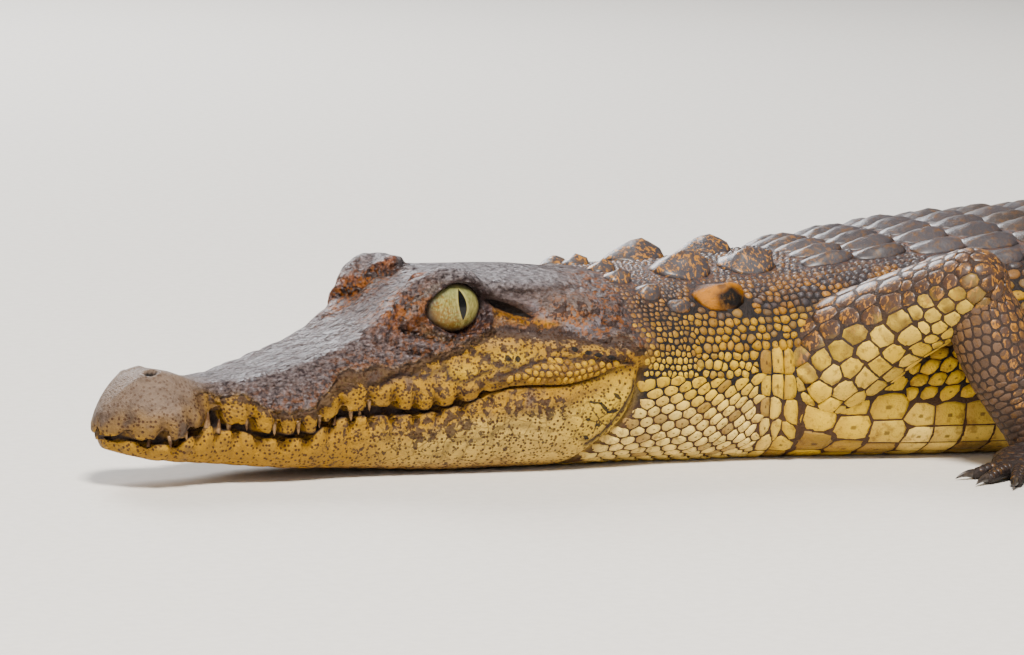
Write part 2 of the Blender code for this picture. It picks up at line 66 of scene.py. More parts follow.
JAW_OUT = [(0, 0.8), (2, 1.6), (3.2, 5), (6, 9), (10, 11.8), (15, 13.1), (20, 12.9), (25, 12.8), (30, 12.9),
           (38, 14.8), (46, 16.6), (56, 17.5), (66, 18.9), (76, 20.8), (86, 23.2), (96, 26.3), (106, 29.3),
           (116, 31.9), (126, 33.7), (135, 34.7)]
JAW_BOTTOM = [(0, 10.5), (2, 9.4), (7, 7.8), (13, 6.6), (25, 5.1), (50, 2.6), (65, 1.6), (80, 0.7), (95, 0),
              (135, 0)]
BODY_OUT = [(135, 35.2), (146, 35), (161, 35.4), (186, 38), (211, 43.5), (246, 49.5), (296, 54.5), (346, 56.5),
            (396, 55), (436, 48), (466, 39), (496, 31.5), (556, 24.5), (636, 17.5), (716, 12.5), (796, 8.8),
            (876, 6), (946, 3.8), (990, 2), (1000, 1)]
BODY_TOP = [(135, 48.9), (146, 48.7), (158, 48.9), (180, 49.6), (196, 50.6), (211, 52.4), (227, 54.6),
            (246, 57), (286, 59.6), (320, 61), (346, 61.8), (396, 60), (436, 57), (466, 53.5), (496, 49.5),
            (556, 43.5), (636, 37), (716, 30.5), (796, 24), (876, 17), (946, 9.8), (990, 4.6), (1000, 2.6)]
BODY_WIDEST = [(135, 0.42), (200, 0.4), (346, 0.38), (480, 0.42), (640, 0.48), (1000, 0.5)]
BODY_CROWN = [(135, 2.5), (200, 2.3), (480, 2.3), (700, 2.0), (1000, 2.0)]
BODY_KEEL = [(135, 4.4), (170, 5), (346, 4.4), (480, 3.4), (560, 2.8), (1000, 2.2)]
LOBES = [(-3, 13.4), (0, 13.2), (6.8, 12.7), (15, 12.7), (22, 15), (32, 15.2), (38.7, 13.1), (44.1, 12.9),
         (51, 12.8), (56, 15.7), (64, 17.4), (71, 18.4), (77, 17.4), (82, 17.3), (87.5, 18.2), (93.5, 19.4),
         (100, 21.9), (108, 22.9), (116, 22.8), (125.5, 24.4), (130, 26.2), (135, 27.6)]  # the upper lip's tips
CLEFTS = [(0, 1.6), (12, 1.8), (18, 0.8), (23, 4.6), (29, 4.6), (34, 2.4), (50, 2.4), (60, 1.7), (75, 1.1),
          (94, 0.6), (104, 0)]
MOUNDS = [(-1, 12), (5, 12.2), (11, 11.5), (18.5, 11.4), (24.5, 15.6), (29.5, 12.8), (35, 11.7), (40.5, 11.8),
          (47, 11), (54, 12.6), (60.5, 16), (65.5, 16.3), (71, 15.8), (77, 15.8), (83, 16), (89, 17), (95, 19),
          (102, 22), (110, 22.4), (116, 22.3), (125.5, 24), (130, 25.9), (135, 27.4)]  # the lower lip's tops
VALLEYS = [(0, 1.2), (12, 1.4), (50, 1.6), (66, 1.0), (94, 0.6), (104, 0)]
GAPE = [(0, 1.1), (54, 1.3), (62, 2.2), (72, 2.2), (78, 1.1), (100, 0.4), (134, 0.15)]
RIM_STEPS = (12, 12, 13, 13, 12, 6, 10, 9, 8, 8, 8, 5)  # faces between the thirteen points of a half outline
COAT = [(0, 0.2), (128, 0.25), (150, 0.6), (200, 0.8), (480, 0.9), (800, 0.6), (1000, 0.2)]


def profile(table, at):
    """Value of a table of (place, value) at many places, on a smooth curve that never overshoots."""
    xs, ys = np.array(table, float).T
    step = np.diff(xs)
    slope = np.diff(ys) / step
    tangent = np.zeros(len(xs))
    tangent[0], tangent[-1] = slope[0], slope[-1]
    same_way = slope[:-1] * slope[1:] > 0
    before, after = slope[:-1][same_way], slope[1:][same_way]
    tangent[1:-1][same_way] = 2 * before * after / (before + after)
    at = np.clip(np.asarray(at, float), xs[0], xs[-1])
    i = np.clip(np.searchsorted(xs, at, side="right") - 1, 0, len(step) - 1)
    t = (at - xs[i]) / step[i]
    return (ys[i] * (1 + 2 * t) * (1 - t) ** 2 + ys[i + 1] * t * t * (3 - 2 * t)
            + step[i] * (tangent[i] * t * (1 - t) ** 2 - tangent[i + 1] * t * t * (1 - t)))


def curve(before, first, second, after, part):
    """A smooth curve through four places, at a part of the way from the first to the second."""
    return 0.5 * (2 * first + (second - before) * part
                  + (2 * before - 5 * first + 4 * second - after) * part * part
                  + (3 * first - before - 3 * second + after) * part ** 3)


def ease(value, start, end):
    """From 0 at the start to 1 at the end, softly."""
    t = np.clip((value - start) / (end - start), 0, 1)
    return t * t * (3 - 2 * t)


def cloud(points, size, seed=0):
    """Smooth noise from -1 to 1, with swells about so many millimetres across."""
    cell = np.asarray(points, float) / size + seed * 17.3
    low = np.floor(cell)
    part = cell - low
    part = part * part * (3 - 2 * part)
    total = 0
    for corner in np.ndindex(2, 2, 2):
        spin = np.sin((low + corner) @ (127.1, 311.7, 74.7)) * 43758.5453
        total = total + (spin - np.floor(spin)) * np.prod(np.where(corner, part, 1 - part), axis=-1)
    return 2 * total - 1


spine_stations = np.arange(0, LENGTH + 1)
spine_heading = np.radians(profile(HEADING, spine_stations))
spine_turn = (spine_heading[1:] + spine_heading[:-1]) / 2
spine_x = np.concatenate([[0], np.cumsum(np.cos(spine_turn))])
spine_y = np.concatenate([[0], np.cumsum(np.sin(spine_turn))])
spine_x, spine_y = spine_x - spine_x[int(MIDDLE)], spine_y - spine_y[int(MIDDLE)]


def in_room(local):
    """Points given as (station, out to the right, up) turned into millimetres in the room."""
    station, out, up = np.moveaxis(np.asarray(local, float), -1, 0)
    turn = np.interp(station, spine_stations, spine_heading)
    beyond = np.minimum(station, 0)  # noses may reach a little in front of the first station
    x = np.interp(station, spine_stations, spine_x) + beyond - out * np.sin(turn)
    y = np.interp(station, spine_stations, spine_y) + out * np.cos(turn)
    return np.stack([x, y, up], axis=-1)


def on_body(room):
    """The (station, out, up) of points given in millimetres in the room."""
    x, y = room[:, 0], room[:, 1]
    station = np.interp(x, spine_x, spine_stations)
    for _ in range(4):
        turn = np.interp(station, spine_stations, spine_heading)
        ahead = ((x - np.interp(station, spine_stations, spine_x)) * np.cos(turn)
                 + (y - np.interp(station, spine_stations, spine_y)) * np.sin(turn))
        station = np.clip(station + ahead, 0, LENGTH)
    turn = np.interp(station, spine_stations, spine_heading)
    out = (-(x - np.interp(station, spine_stations, spine_x)) * np.sin(turn)
           + (y - np.interp(station, spine_stations, spine_y)) * np.cos(turn))
    return np.stack([station, out, room[:, 2]], axis=-1)


def lobes(at, tips):
    """1 over the broad tip of each lobe and 0 in the narrow cleft between two."""
    tips = np.array(tips, float)[:, 0]
    i = np.clip(np.searchsorted(tips, at, side="right") - 1, 0, len(tips) - 2)
    return 1 - (0.5 - 0.5 * np.cos(2 * math.pi * (at - tips[i]) / (tips[i + 1] - tips[i]))) ** 2.5


def lips(at):
    """Heights of the upper lip's edge and of the lower lip's edge."""
    upper = profile(LOBES, at) + profile(CLEFTS, at) * (1 - lobes(at, LOBES))
    lower = profile(MOUNDS, at) - profile(VALLEYS, at) * (1 - lobes(at, MOUNDS))
    lower = np.maximum(lower, profile(LOBES, at) - profile(GAPE, at))
    return upper, np.minimum(lower, upper - profile([(0, 0.4), (92, 0.35), (134, 0.15)], at))


def half_outline(at):
    """Points down the right side at each station, crown first, as (station, point, out and up)."""
    top, bottom = profile(TOP, at), profile(JAW_BOTTOM, at)
    ridge_out, ridge_up = profile(RIDGE_OUT, at), top + profile(RIDGE_RISE, at)
    wall_out, wall_up = profile(WALL_OUT, at), profile(WALL_UP, at)
    tooth_out, lip = profile(TOOTH_OUT, at), profile(LIP, at)
    tooth_up = lip + np.minimum(4.2, 0.35 * (wall_up - lip))
    upper, lower = lips(at)
    bottom = lip - (lip - bottom) * np.maximum(ease(at, 0.2, 2.2), 0.12)
    jaw_out, deep = profile(JAW_OUT, at), lip - bottom
    zero = np.zeros_like(at)
    head = np.stack([np.stack(pair, axis=-1) for pair in (
        (zero, top),
        (0.55 * ridge_out, top + 0.25 * (ridge_up - top)),
        (ridge_out, ridge_up),
        (wall_out, wall_up),
        (wall_out + 0.62 * (tooth_out - wall_out), wall_up + 0.55 * (tooth_up - wall_up)),
        (tooth_out, tooth_up),
        (tooth_out - 0.5, upper),
        (jaw_out - 0.3, lower),
        (jaw_out + 0.2, lip - 0.4 * deep),
        (0.93 * jaw_out, lip - 0.72 * deep),
        (0.76 * jaw_out, bottom + 0.07 * deep),
        (0.42 * jaw_out, bottom),
        (zero, bottom))], axis=1)
    half, crest = profile(BODY_OUT, at)[:, None], profile(BODY_TOP, at)[:, None]
    widest = crest * profile(BODY_WIDEST, at)[:, None]
    angle = math.pi * np.arange(13) / 12
    power = np.where(angle <= math.pi / 2, profile(BODY_CROWN, at)[:, None], profile(BODY_KEEL, at)[:, None])
    rise = np.abs(np.cos(angle)) ** (2 / power)
    low = np.maximum(0, widest * (1 - rise) - 0.8 * rise)
    body = np.stack([half * np.abs(np.sin(angle)) ** (2 / power),
                     np.where(angle <= math.pi / 2, widest + (crest - widest) * rise, low)], axis=-1)
    body[:, -1] = 0

    def smooth(points, place):
        before, after = 2 * points[:, :1] - points[:, 1:2], 2 * points[:, -1:] - points[:, -2:-1]
        ends = np.concatenate([before, points, after], axis=1)
        i = np.clip(place.astype(int), 0, points.shape[1] - 2)
        return curve(*(ends[:, i + k] for k in range(4)), (place - i)[None, :, None])

    rim = np.concatenate([k + np.arange(n) / n for k, n in enumerate(RIM_STEPS)] + [[12]])
    jaws = smooth(head, rim)
    above, inside, below = rim <= 6, (rim > 6) & (rim < 7), rim >= 7
    jaws[:, above] = smooth(head[:, :7], rim[above])
    jaws[:, below] = smooth(head[:, 7:], rim[below] - 7)
    share = (rim[inside] - 6)[None, :, None]
    groove = head[:, 6:7] + (head[:, 7:8] - head[:, 6:7]) * ease(share, 0.3, 0.7)
    depth = profile([(0, 0.6), (4, 2.6), (90, 3), (112, 1.4), (134, 0.2)], at)[:, None, None]
    groove[:, :, :1] -= depth * np.sin(math.pi * share) ** 0.5
    jaws[:, inside] = groove
    behind = ease(at, 130, 164)[:, None, None]
    mixed = smooth((1 - behind) * head + behind * body, rim)
    shut = ease(at, 122, 135)[:, None, None]
    return (1 - shut) * jaws + shut * mixed


def near_line(station, up, line, width):
    """1 on a line of (station, up) points on the body's side, falling to 0 over its width."""
    nearest = np.full(np.broadcast(station, up).shape, 1e9)
    for (s0, u0), (s1, u1) in zip(line, line[1:]):
        run, climb = s1 - s0, u1 - u0
        t = np.clip(((station - s0) * run + (up - u0) * climb) / (run * run + climb * climb), 0, 1)
        nearest = np.minimum(nearest, np.hypot(station - s0 - t * run, up - u0 - t * climb))
    return np.exp(-(nearest / width) ** 2)


def spot(station, up, at, radii, tilt=0):
    """A soft round spot on the side, 1 in its middle; tilt turns it, in degrees."""
    turn = math.radians(tilt)
    along, across = station - at[0], up - at[1]
    return np.exp(-((along * math.cos(turn) + across * math.sin(turn)) / radii[0]) ** 2
                  - ((across * math.cos(turn) - along * math.sin(turn)) / radii[1]) ** 2)


EYE = (92.9, 42.1)  # middle of the opening between the lids
EYE_OPENING = (8.5, 6.4)
NOSTRIL = (12.2, 4.8)  # station, and out from the middle
EAR = [(102.6, 43.7), (105, 42.8), (108.5, 41.4), (114.4, 39.1)]
JAW_EDGE = [(140.1, 26), (139.6, 22), (138.4, 18.5), (136, 13.9), (132.6, 9.5), (128, 5.5), (123, 0)]
COLLAR = [(190.5, 30), (191, 26), (191.7, 16), (194, 4)]
BROW_GROOVE = [(75, 15.5), (77, 13.9), (80, 10.2), (85, 8.7), (93, 9.2), (96, 11.4), (99.5, 14)]
FOLDS = [  # (depth, width, darkness of the painted shade in the fold, line) of the folds on the side of the head
    (0.9, 0.7, 0.9, [(77.5, 37.6), (79, 36.9), (82.5, 35.7), (85, 35.2), (87, 34.5)]),
    (0.5, 0.5, 0.6, [(71, 34.8), (77.1, 33.7)]),
    (0.8, 0.8, 0.9, [(80, 31.6), (84.1, 30.8)]),
    (0.6, 0.8, 0.25, [(97, 34.6), (108.5, 36.3), (117.5, 35.6), (126.6, 34.4), (134.5, 31)]),
    (0.6, 0.5, 0.7, [(98, 24.4), (103.6, 26.4), (108.6, 28.4), (115, 29.5), (122.6, 29.3), (132, 28.2),
                     (137.5, 27.4)]),
    (0.4, 0.45, 0.6, [(95, 31.2), (98.1, 30.5), (100.1, 28.4), (104.1, 27.6)]),
    (0.4, 0.45, 0.6, [(87.5, 30), (88.1, 25.1), (92.1, 24.1), (98.1, 26.8)]),
    (0.4, 0.45, 0.6, [(70, 24), (76, 26.5), (82, 25.5), (88, 27.5)]),
    (0.5, 0.6, 0.6, [(77.6, 39.3), (80.1, 43.6), (84, 46.2), (87.6, 48.4), (95.5, 49.6), (99.5, 48.3),
                     (103.1, 45)]),
    (0.35, 0.5, 0.5, [(78.5, 37.4), (84, 35.2), (89.6, 34.2), (95.3, 34.5), (99.8, 36.8), (102.4, 40.6)]),
    (0.8, 1.0, 0.35, [(134, 45.6), (134.6, 41.4), (132.6, 36.6), (126.6, 34.8), (119, 36.2)]),
    (0.5, 0.8, 0.3, [(106, 45.2), (113, 45.4), (121, 46), (129, 46)]),
    (0.3, 0.5, 0.7, [(99, 37.8), (107.6, 36.9), (113.5, 35.9), (118.6, 36.4)]),
    (0.3, 0.5, 0.3, [(117, 34.2), (123, 34), (129.6, 32.2), (136, 31.6)]),
    (0.3, 0.7, 0.2, [(118, 16.9), (120.5, 16.9), (122.5, 14.9), (124.5, 13.8), (127.5, 13.3), (130.5, 13.5)]),
    (0.3, 0.7, 0.2, [(117.5, 15.6), (118.5, 13.5), (121, 10.7), (122.5, 9.9), (125, 8.4)]),
    (0.3, 0.7, 0.3, [(100, 7.9), (99.6, 10.6), (101.1, 12.5), (106.1, 12.9), (109.1, 12.3), (112.1, 11.7),
                     (114.6, 10.8)]),
    (0.3, 0.7, 0.3, [(88, 4.5), (88.6, 8.2), (91.4, 9.4), (95.4, 9.2), (99.6, 10.6)]),
    (0.4, 0.5, 0.8, [(137.9, 23.1), (136.9, 19.9), (134.7, 16.5), (132, 13), (129.4, 9.9), (125.5, 6.9)]),
]
SWELLS = [  # (height, width, line) of the swellings between them
    (0.7, 1.9, [(86, 32.6), (98, 33.2), (110, 33.2), (122, 32), (130, 30.6)]),
    (0.5, 1.8, [(89.5, 27), (94, 27)]), (0.5, 1.9, [(100, 30), (106, 31)]),
    (0.5, 1.5, [(106, 26), (116, 26.2), (126, 26.4)]),
    (0.6, 1.4, [(79.5, 40.5), (83, 44.5), (87, 47.2)]),
    (0.5, 3.0, [(124, 15), (130, 19), (136, 21)]),
    (0.5, 2.0, [(104, 17), (112, 18.5), (122, 20.5)]),
]


def eye_distance(station, up):
    """1 on the edge of the opening between the lids, which is pointed in front."""
    along, across = (station - EYE[0]) / EYE_OPENING[0], (up - EYE[1]) / EYE_OPENING[1]
    corner = np.where(along < 0, 1.55, 2.0)
    return (np.abs(along) ** corner + np.abs(across) ** corner) ** (1 / corner)


def nostril_distance(station, out):
    return np.hypot(station - NOSTRIL[0], (out - NOSTRIL[1]) * 1.15)


def jaw_end(up):
    """The station where the back edge of the lower jaw lies, at each height."""
    return np.interp(up, *np.array(JAW_EDGE[::-1], float).T[::-1])


def relief(station, out, up):
    """How far the hide stands out from the plain body, for folds, lids, holes and swellings."""
    side, top = ease(out, 4, 9), profile(TOP, station)
    eye = eye_distance(station, up)
    lid, lid_fold = np.exp(-((eye - 1.16) / 0.12) ** 2), np.exp(-((eye - 1.42) / 0.09) ** 2)
    height = side * ease(up, 33, 35) * (1.25 * lid - 0.4 * lid_fold - 3.2 * ease(eye, 1.0, 0.84))
    outward = ease(eye, 1.05, 1.3)
    for deep, width, _, line in FOLDS:
        height -= side * outward * deep * near_line(station, up, line, width)
    for tall, width, line in SWELLS:
        height += side * outward * tall * near_line(station, up, line, width)
    height -= side * 2.4 * near_line(station, up, EAR, 0.95)
    height += side * 1.1 * near_line(station, up, [(s, u + 2.1) for s, u in EAR], 1.1)
    height += side * 1.5 * spot(station, up, (124, 40.2), (7.5, 4), 4)
    brow = ease(up, top - 7, top - 3) * ease(station, 70, 76) * ease(station, 112, 104)
    past = out - np.interp(station, *np.array(BROW_GROOVE, float).T)
    edge, groove = ease(past, 0, 1.6) * ease(out, 20, 16.5), np.exp(-((past + 0.6) / 0.9) ** 2)
    height += brow * ease(station, 74.5, 79) * ease(station, 101, 98.5) * (1.5 * edge - 0.9 * groove)
    nostril = nostril_distance(station, out)
    nostril_rim = 0.35 * np.exp(-((nostril - 2.5) / 0.9) ** 2)
    height += ease(up, 24, 26) * (nostril_rim - 2.4 * ease(nostril, 1.8, 0.8))
    from_lip = up - profile(LIP, station)
    lobe = np.where(from_lip > 0, lobes(station, LOBES), lobes(station, MOUNDS))
    fade = ease(station, 108, 92) * ease(station, 1, 5)
    upper, lower = lips(station)
    below_tip = np.where(from_lip > 0, up - upper, lower - up)
    height += fade * side * (lobe - 0.75) * (1.5 * np.exp(-((below_tip - 1.8) / 2.4) ** 2) + 0.3)
    lumps = cloud(np.stack(np.broadcast_arrays(station, out, up), -1), 4.5, 6)
    height += 0.5 * lumps * ease(station, 22, 32) * ease(station, 96, 84) * ease(from_lip, 2, 5)
    height -= side * 1.4 * near_line(station, up, JAW_EDGE, 1.0) * ease(up, -1, 3)
    fold = ease(out, 20, 26)
    height -= fold * 1.2 * near_line(station, up, COLLAR, 1.3)
    height += fold * 0.7 * near_line(station, up, [(s - 4, u) for s, u in COLLAR], 2.5)
    return height


def local_surface(at):
    """The hide's half outlines, relief and all, as (station, point, (station, out, up))."""
    half = half_outline(at)
    plain = np.concatenate([np.broadcast_to(at[:, None, None], half.shape[:2] + (1,)), half], axis=-1)
    along = np.gradient(plain, at, axis=0)
    down = np.gradient(plain, axis=1)
    normal = np.cross(along, down)
    normal[:, 0] *= (1, 0, 1)
    normal[:, -1] = (0, 0, -1)
    normal /= np.linalg.norm(normal, axis=-1)[..., None] + 1e-9
    lift = relief(plain[..., 0], plain[..., 1], plain[..., 2]) - profile(COAT, at)[:, None]
    lift *= ease(plain[..., 2], -0.5, 2)
    moved = plain + normal * lift[..., None]
    moved[..., 1] = np.maximum(moved[..., 1], 0)
    moved[:, 0, 1] = moved[:, -1, 1] = 0
    moved[..., 2] = np.maximum(moved[..., 2], 0)
    return moved


def skin_mesh(name, rooms, faces):
    mesh = bpy.data.meshes.new(name)
    mesh.from_pydata((np.asarray(rooms) * MM).tolist(), [], faces)
    mesh.validate()
    made = bpy.data.objects.new(name, mesh)
    bpy.context.scene.collection.objects.link(made)
    return made


head_rows = np.concatenate([(0, 0.3, 0.7, 1.2, 1.8, 2.4, 3), np.arange(3.7, 140, 0.72)])
body_rows = [np.arange(141.5, 262, 1.7), np.arange(264, 500, 3.2), np.arange(503, 998, 4), [LENGTH]]
rows = np.concatenate([head_rows] + body_rows)
sides = local_surface(rows)
points, faces, last_ring, every = [], [], None, 1
for station, side in zip(rows, sides):
    every = 1 if station < 140 else 2 if station < 300 else 4
    half = side[::every]
    ring = np.concatenate([half, half[-2:0:-1] * (1, -1, 1)])
    names = np.arange(len(ring)) + sum(len(p) for p in points)
    points.append(in_room(ring))
    if last_ring is None:
        nose = names
    else:
        step, count = len(last_ring) // len(names), len(names)
        for i in range(count):
            j = (i + 1) % count
            if step == 1:
                faces.append((last_ring[i], names[i], names[j], last_ring[j]))
            else:
                first, between = last_ring[2 * i], last_ring[2 * i + 1]
                second = last_ring[2 * j % len(last_ring)]
                faces += [(first, names[i], between), (between, names[i], names[j], second)]
    last_ring = names
points = np.concatenate(points)
for ring, order in ((nose, 1), (last_ring, -1)):
    faces += [(len(points), ring[i], ring[(i + 1) % len(ring)])[::order] for i in range(len(ring))]
    points = np.concatenate([points, points[ring].mean(axis=0)[None]])
hide = skin_mesh("hide", points, [tuple(int(i) for i in face) for face in faces])

# The legs are tubes of the same hide: an upper and a lower length, a palm, and toes, which are webbed behind.
FRONT_FOOT = {"digits": [(48, 9, 2.0), (22, 12, 2.1), (-2, 13, 2.1), (-28, 11, 1.9), (-58, 9, 1.7)],
              "sole": (15.0, 8.5, 3.6)}
HIND_FOOT = {"digits": [(27, 17, 2.5), (9, 22, 2.6), (-10, 23, 2.5), (-29, 20, 2.1)], "sole": (30.0, 9.5, 4.2)}
FRONT_SIZES = ([(16, 17), (12.2, 12.6), (10.4, 10.6)], [(8.6, 9), (10.4, 10.8), (6.8, 7)])
HIND_SIZES = ([(17, 18), (15.5, 16), (11.5, 12)], [(9.6, 10), (10.8, 10.8), (7.2, 7.2)])
LEGS = [
    ("left_front", -1, [(204, 29, 24), (231, 58, 47), (245, 67, 10)], FRONT_SIZES, FRONT_FOOT, 52),
    ("right_front", 1, [(204, 29, 23), (238, 63, 34.5), (222, 87, 10)], FRONT_SIZES, FRONT_FOOT, 38),
    ("left_hind", -1, [(459, 27, 30), (426, 73, 33), (468, 92, 11)], HIND_SIZES, HIND_FOOT, 48),
    ("right_hind", 1, [(459, 27, 30), (432, 76, 30), (478, 90, 11)], HIND_SIZES, HIND_FOOT, 38),
]
LEG_COAT = 0.5


def faces_between(rings, count, start=0):
    """Faces from each ring of so many points to the next, for rings that follow one another."""
    made = []
    for near in range(start, start + (rings - 1) * count, count):
        far = near + count
        made += [(near + k, near + (k + 1) % count, far + (k + 1) % count, far + k) for k in range(count)]
    return made


class Tube:
    """A round limb along a smooth line; at() gives points on it by share of its length and turn round it."""

    def __init__(self, points, radii, coat=LEG_COAT):
        points, radii = np.array(points, float), np.array(radii, float) - coat
        ends = np.vstack([2 * points[0] - points[1], points, 2 * points[-1] - points[-2]])
        sizes = np.vstack([2 * radii[0] - radii[1], radii, 2 * radii[-1] - radii[-2]])
        line, size = [], []
        for i in range(1, len(ends) - 2):
            for t in np.arange(16) / 16:
                for run, made in ((ends, line), (sizes, size)):
                    made.append(curve(*run[i - 1:i + 3], t))
        self.line, self.size = np.vstack([line, points[-1]]), np.vstack([size, radii[-1]])
        run = np.linalg.norm(np.diff(self.line, axis=0), axis=1)
        self.share = np.concatenate([[0], np.cumsum(run)])
        self.length = self.share[-1]
        self.share /= self.length
        self.ahead = np.gradient(self.line, axis=0)
        self.ahead /= np.linalg.norm(self.ahead, axis=1)[:, None]

    def follow(self, values, share):
        return np.stack([np.interp(share, self.share, values[:, k]) for k in range(values.shape[1])], axis=-1)

    def at(self, share, turn, lift=0.0):
        """Points by share and turn: turn is 0 on top and grows to the right, and share may pass the ends."""
        share, turn = np.broadcast_arrays(np.asarray(share, float), np.asarray(turn, float))
        inside = np.clip(share, 0, 1)
        centre, ahead, size = (self.follow(v, inside) for v in (self.line, self.ahead, self.size))
        ahead /= np.linalg.norm(ahead, axis=-1)[..., None]
        mean = size.mean(axis=-1)
        past = np.clip((share - inside) * self.length / mean, -1, 1)
        shrink = np.sqrt(np.maximum(1 - past ** 2, 0))
        across = np.cross(ahead, (0, 0, 1.0))
        across /= np.linalg.norm(across, axis=-1)[..., None]
        over = np.cross(across, ahead)
        round_way = across * size[..., :1] * np.sin(turn)[..., None]
        round_way = round_way + over * size[..., 1:] * np.cos(turn)[..., None]
        place = centre + ahead * (past * mean)[..., None] + round_way * shrink[..., None]
        normal = round_way / np.linalg.norm(round_way, axis=-1)[..., None]
        normal = normal * shrink[..., None] + ahead * past[..., None]
        place = place + normal * np.asarray(lift)[..., None]
        place[..., 2] = np.maximum(place[..., 2], 0)
        return place, normal

    def mesh(self, name, step, count, swell=None):
        """A closed solid with rings about a step apart."""
        mean0, mean1 = self.size[0].mean() / self.length, self.size[-1].mean() / self.length
        bends = np.radians([80, 65, 50, 35, 18])
        shares = np.concatenate([-mean0 * np.sin(bends), np.linspace(0, 1, max(3, int(self.length / step))),
                                 1 + mean1 * np.sin(bends[::-1])])
        turns = np.arange(count) * 2 * math.pi / count
        share, turn = np.meshgrid(shares, turns, indexing="ij")
        grid, _ = self.at(share, turn, swell(share, turn) if swell else 0 * share)
        rings, size = grid.reshape(-1, 3), len(shares)
        made = faces_between(size, count)
        tips, _ = self.at(np.array([-mean0, 1 + mean1]), np.zeros(2))
        first, last = len(rings), len(rings) + 1
        for j in range(count):
            k = (j + 1) % count
            made += [(first, k, j), (last, (size - 1) * count + j, (size - 1) * count + k)]
        return skin_mesh(name, np.vstack([rings, tips]), made)


def faces_outward(solid, number):
    """Turns a closed piece's faces outward and marks them all with one number."""
    shape = bmesh.new()
    shape.from_mesh(solid.data)
    bmesh.ops.recalc_face_normals(shape, faces=shape.faces)
    for face in shape.faces:
        face.material_index = number
    shape.to_mesh(solid.data)
    shape.free()
    while len(solid.data.materials) < 4:
        solid.data.materials.append(None)


def unite(target, other):
    """Joins a closed piece to another and removes it."""
    bpy.ops.object.select_all(action="DESELECT")
    bpy.context.view_layer.objects.active = target
    joint = target.modifiers.new("unite", "BOOLEAN")
    joint.operation, joint.solver, joint.object = "UNION", "MANIFOLD", other
    bpy.ops.object.modifier_apply(modifier=joint.name)
    mesh = other.data
    bpy.data.objects.remove(other)
    bpy.data.meshes.remove(mesh)


faces_outward(hide, 0)
tubes, toe_ends = {}, {}
for name, side, (root, bend, ankle), (upper_sizes, lower_sizes), foot, pointing in LEGS:
    root, bend, end = (in_room((s, side * o, u)) for s, o, u in (root, bend, ankle))
    upper = Tube([root, (root + bend) / 2 + (0, 0, 1.5), bend], upper_sizes)
    lower = Tube([bend, bend + (end - bend) * 0.45, end], lower_sizes)
    long, half, thick = foot["sole"]
    heading = math.radians(pointing)
    ahead = np.array((-math.cos(heading), side * math.sin(heading), 0))
    heel = in_room((ankle[0], side * ankle[1], thick + 0.6))
    knuckles = heel + ahead * long
    knuckles[2] = thick * 0.8
    palm = Tube([heel, heel + ahead * 0.5 * long, knuckles],
                [(0.72 * half, thick), (half, thick), (0.98 * half, 0.75 * thick)], 0.3)
    tubes[name] = {"upper": upper, "lower": lower, "palm": palm, "toes": []}
    leg = upper.mesh(name, 1.2, 44)
    faces_outward(leg, 1)
    pieces = [(lower.mesh("lower", 1.1, 40), 2), (palm.mesh("palm", 1.1, 32), 3)]
    tips = []
    for turn, reach, radius in foot["digits"]:
        angle = heading - math.radians(turn)
        way = np.array((-math.cos(angle), side * math.sin(angle), 0))
        start = knuckles - ahead * 0.35 * long + way * 0.2 * long
        start[2] = radius
        tip = start + way * (reach + 0.2 * long)
        tip[2] = radius * 0.7
        middle = (start + tip) / 2
        middle[2] = radius * 1.25
        sizes = [(radius * 1.1, radius * 1.05), (radius, radius), (radius * 0.8, radius * 0.75)]
        toe = Tube([start, middle, tip], sizes, 0.15)
        tubes[name]["toes"].append(toe)
        pieces.append((toe.mesh("toe", 1.3, 12), 3))
        tips.append(tip)
        toe_ends.setdefault(name, []).append((tip, way, radius))
    if "hind" in name:
        centre = knuckles - ahead * 0.3 * long
        edge = [centre, centre + (tips[0] - centre) * 0.7]
        for first, second in zip(tips, tips[1:]):
            edge += [centre + ((first + second) / 2 - centre) * 0.6, centre + (second - centre) * 0.7]
        count = len(edge)
        web = [(p[0], p[1], up) for up in (0.6, 1.5) for p in edge]
        flats = [tuple(range(count))[::-1], tuple(range(count, 2 * count))]
        pieces.append((skin_mesh("web", web, flats + faces_between(2, count)), 3))
    for piece, number in pieces:
        faces_outward(piece, number)
        unite(leg, piece)
    unite(hide, leg)

# Where the pieces meet, the hide runs on in a soft fold instead of a sharp corner.
mesh = hide.data
rooms = np.empty(len(mesh.vertices) * 3)
mesh.vertices.foreach_get("co", rooms)
rooms = rooms.reshape(-1, 3) / MM
edges = np.empty(len(mesh.edges) * 2, int)
mesh.edges.foreach_get("vertices", edges)
edges = edges.reshape(-1, 2)
kinds = np.zeros((len(rooms), 4))
for face in mesh.polygons:
    kinds[list(face.vertices), face.material_index] = 1
joined = (kinds.sum(axis=1) > 1).astype(float)
valence = np.bincount(edges.ravel(), minlength=len(rooms))[:, None]


def neighbours(values):
    total = np.zeros_like(values)
    np.add.at(total, edges[:, 0], values[edges[:, 1]])
    np.add.at(total, edges[:, 1], values[edges[:, 0]])
    return total / valence


near_seam = joined[:, None]
for _ in range(4):
    near_seam = np.maximum(near_seam, neighbours(near_seam))
softness = np.clip(near_seam * 2.5, 0, 1)
for _ in range(6):
    rooms += 0.5 * softness * (neighbours(rooms) - rooms)
kinds /= kinds.sum(axis=1)[:, None]
for _ in range(5):
    kinds = 0.5 * kinds + 0.5 * neighbours(kinds)
rooms[:, 2] = np.maximum(rooms[:, 2], 0)
mesh.vertices.foreach_set("co", (rooms * MM).ravel())
for face in mesh.polygons:
    face.material_index = 0
mesh.materials.clear()
mesh.shade_smooth()

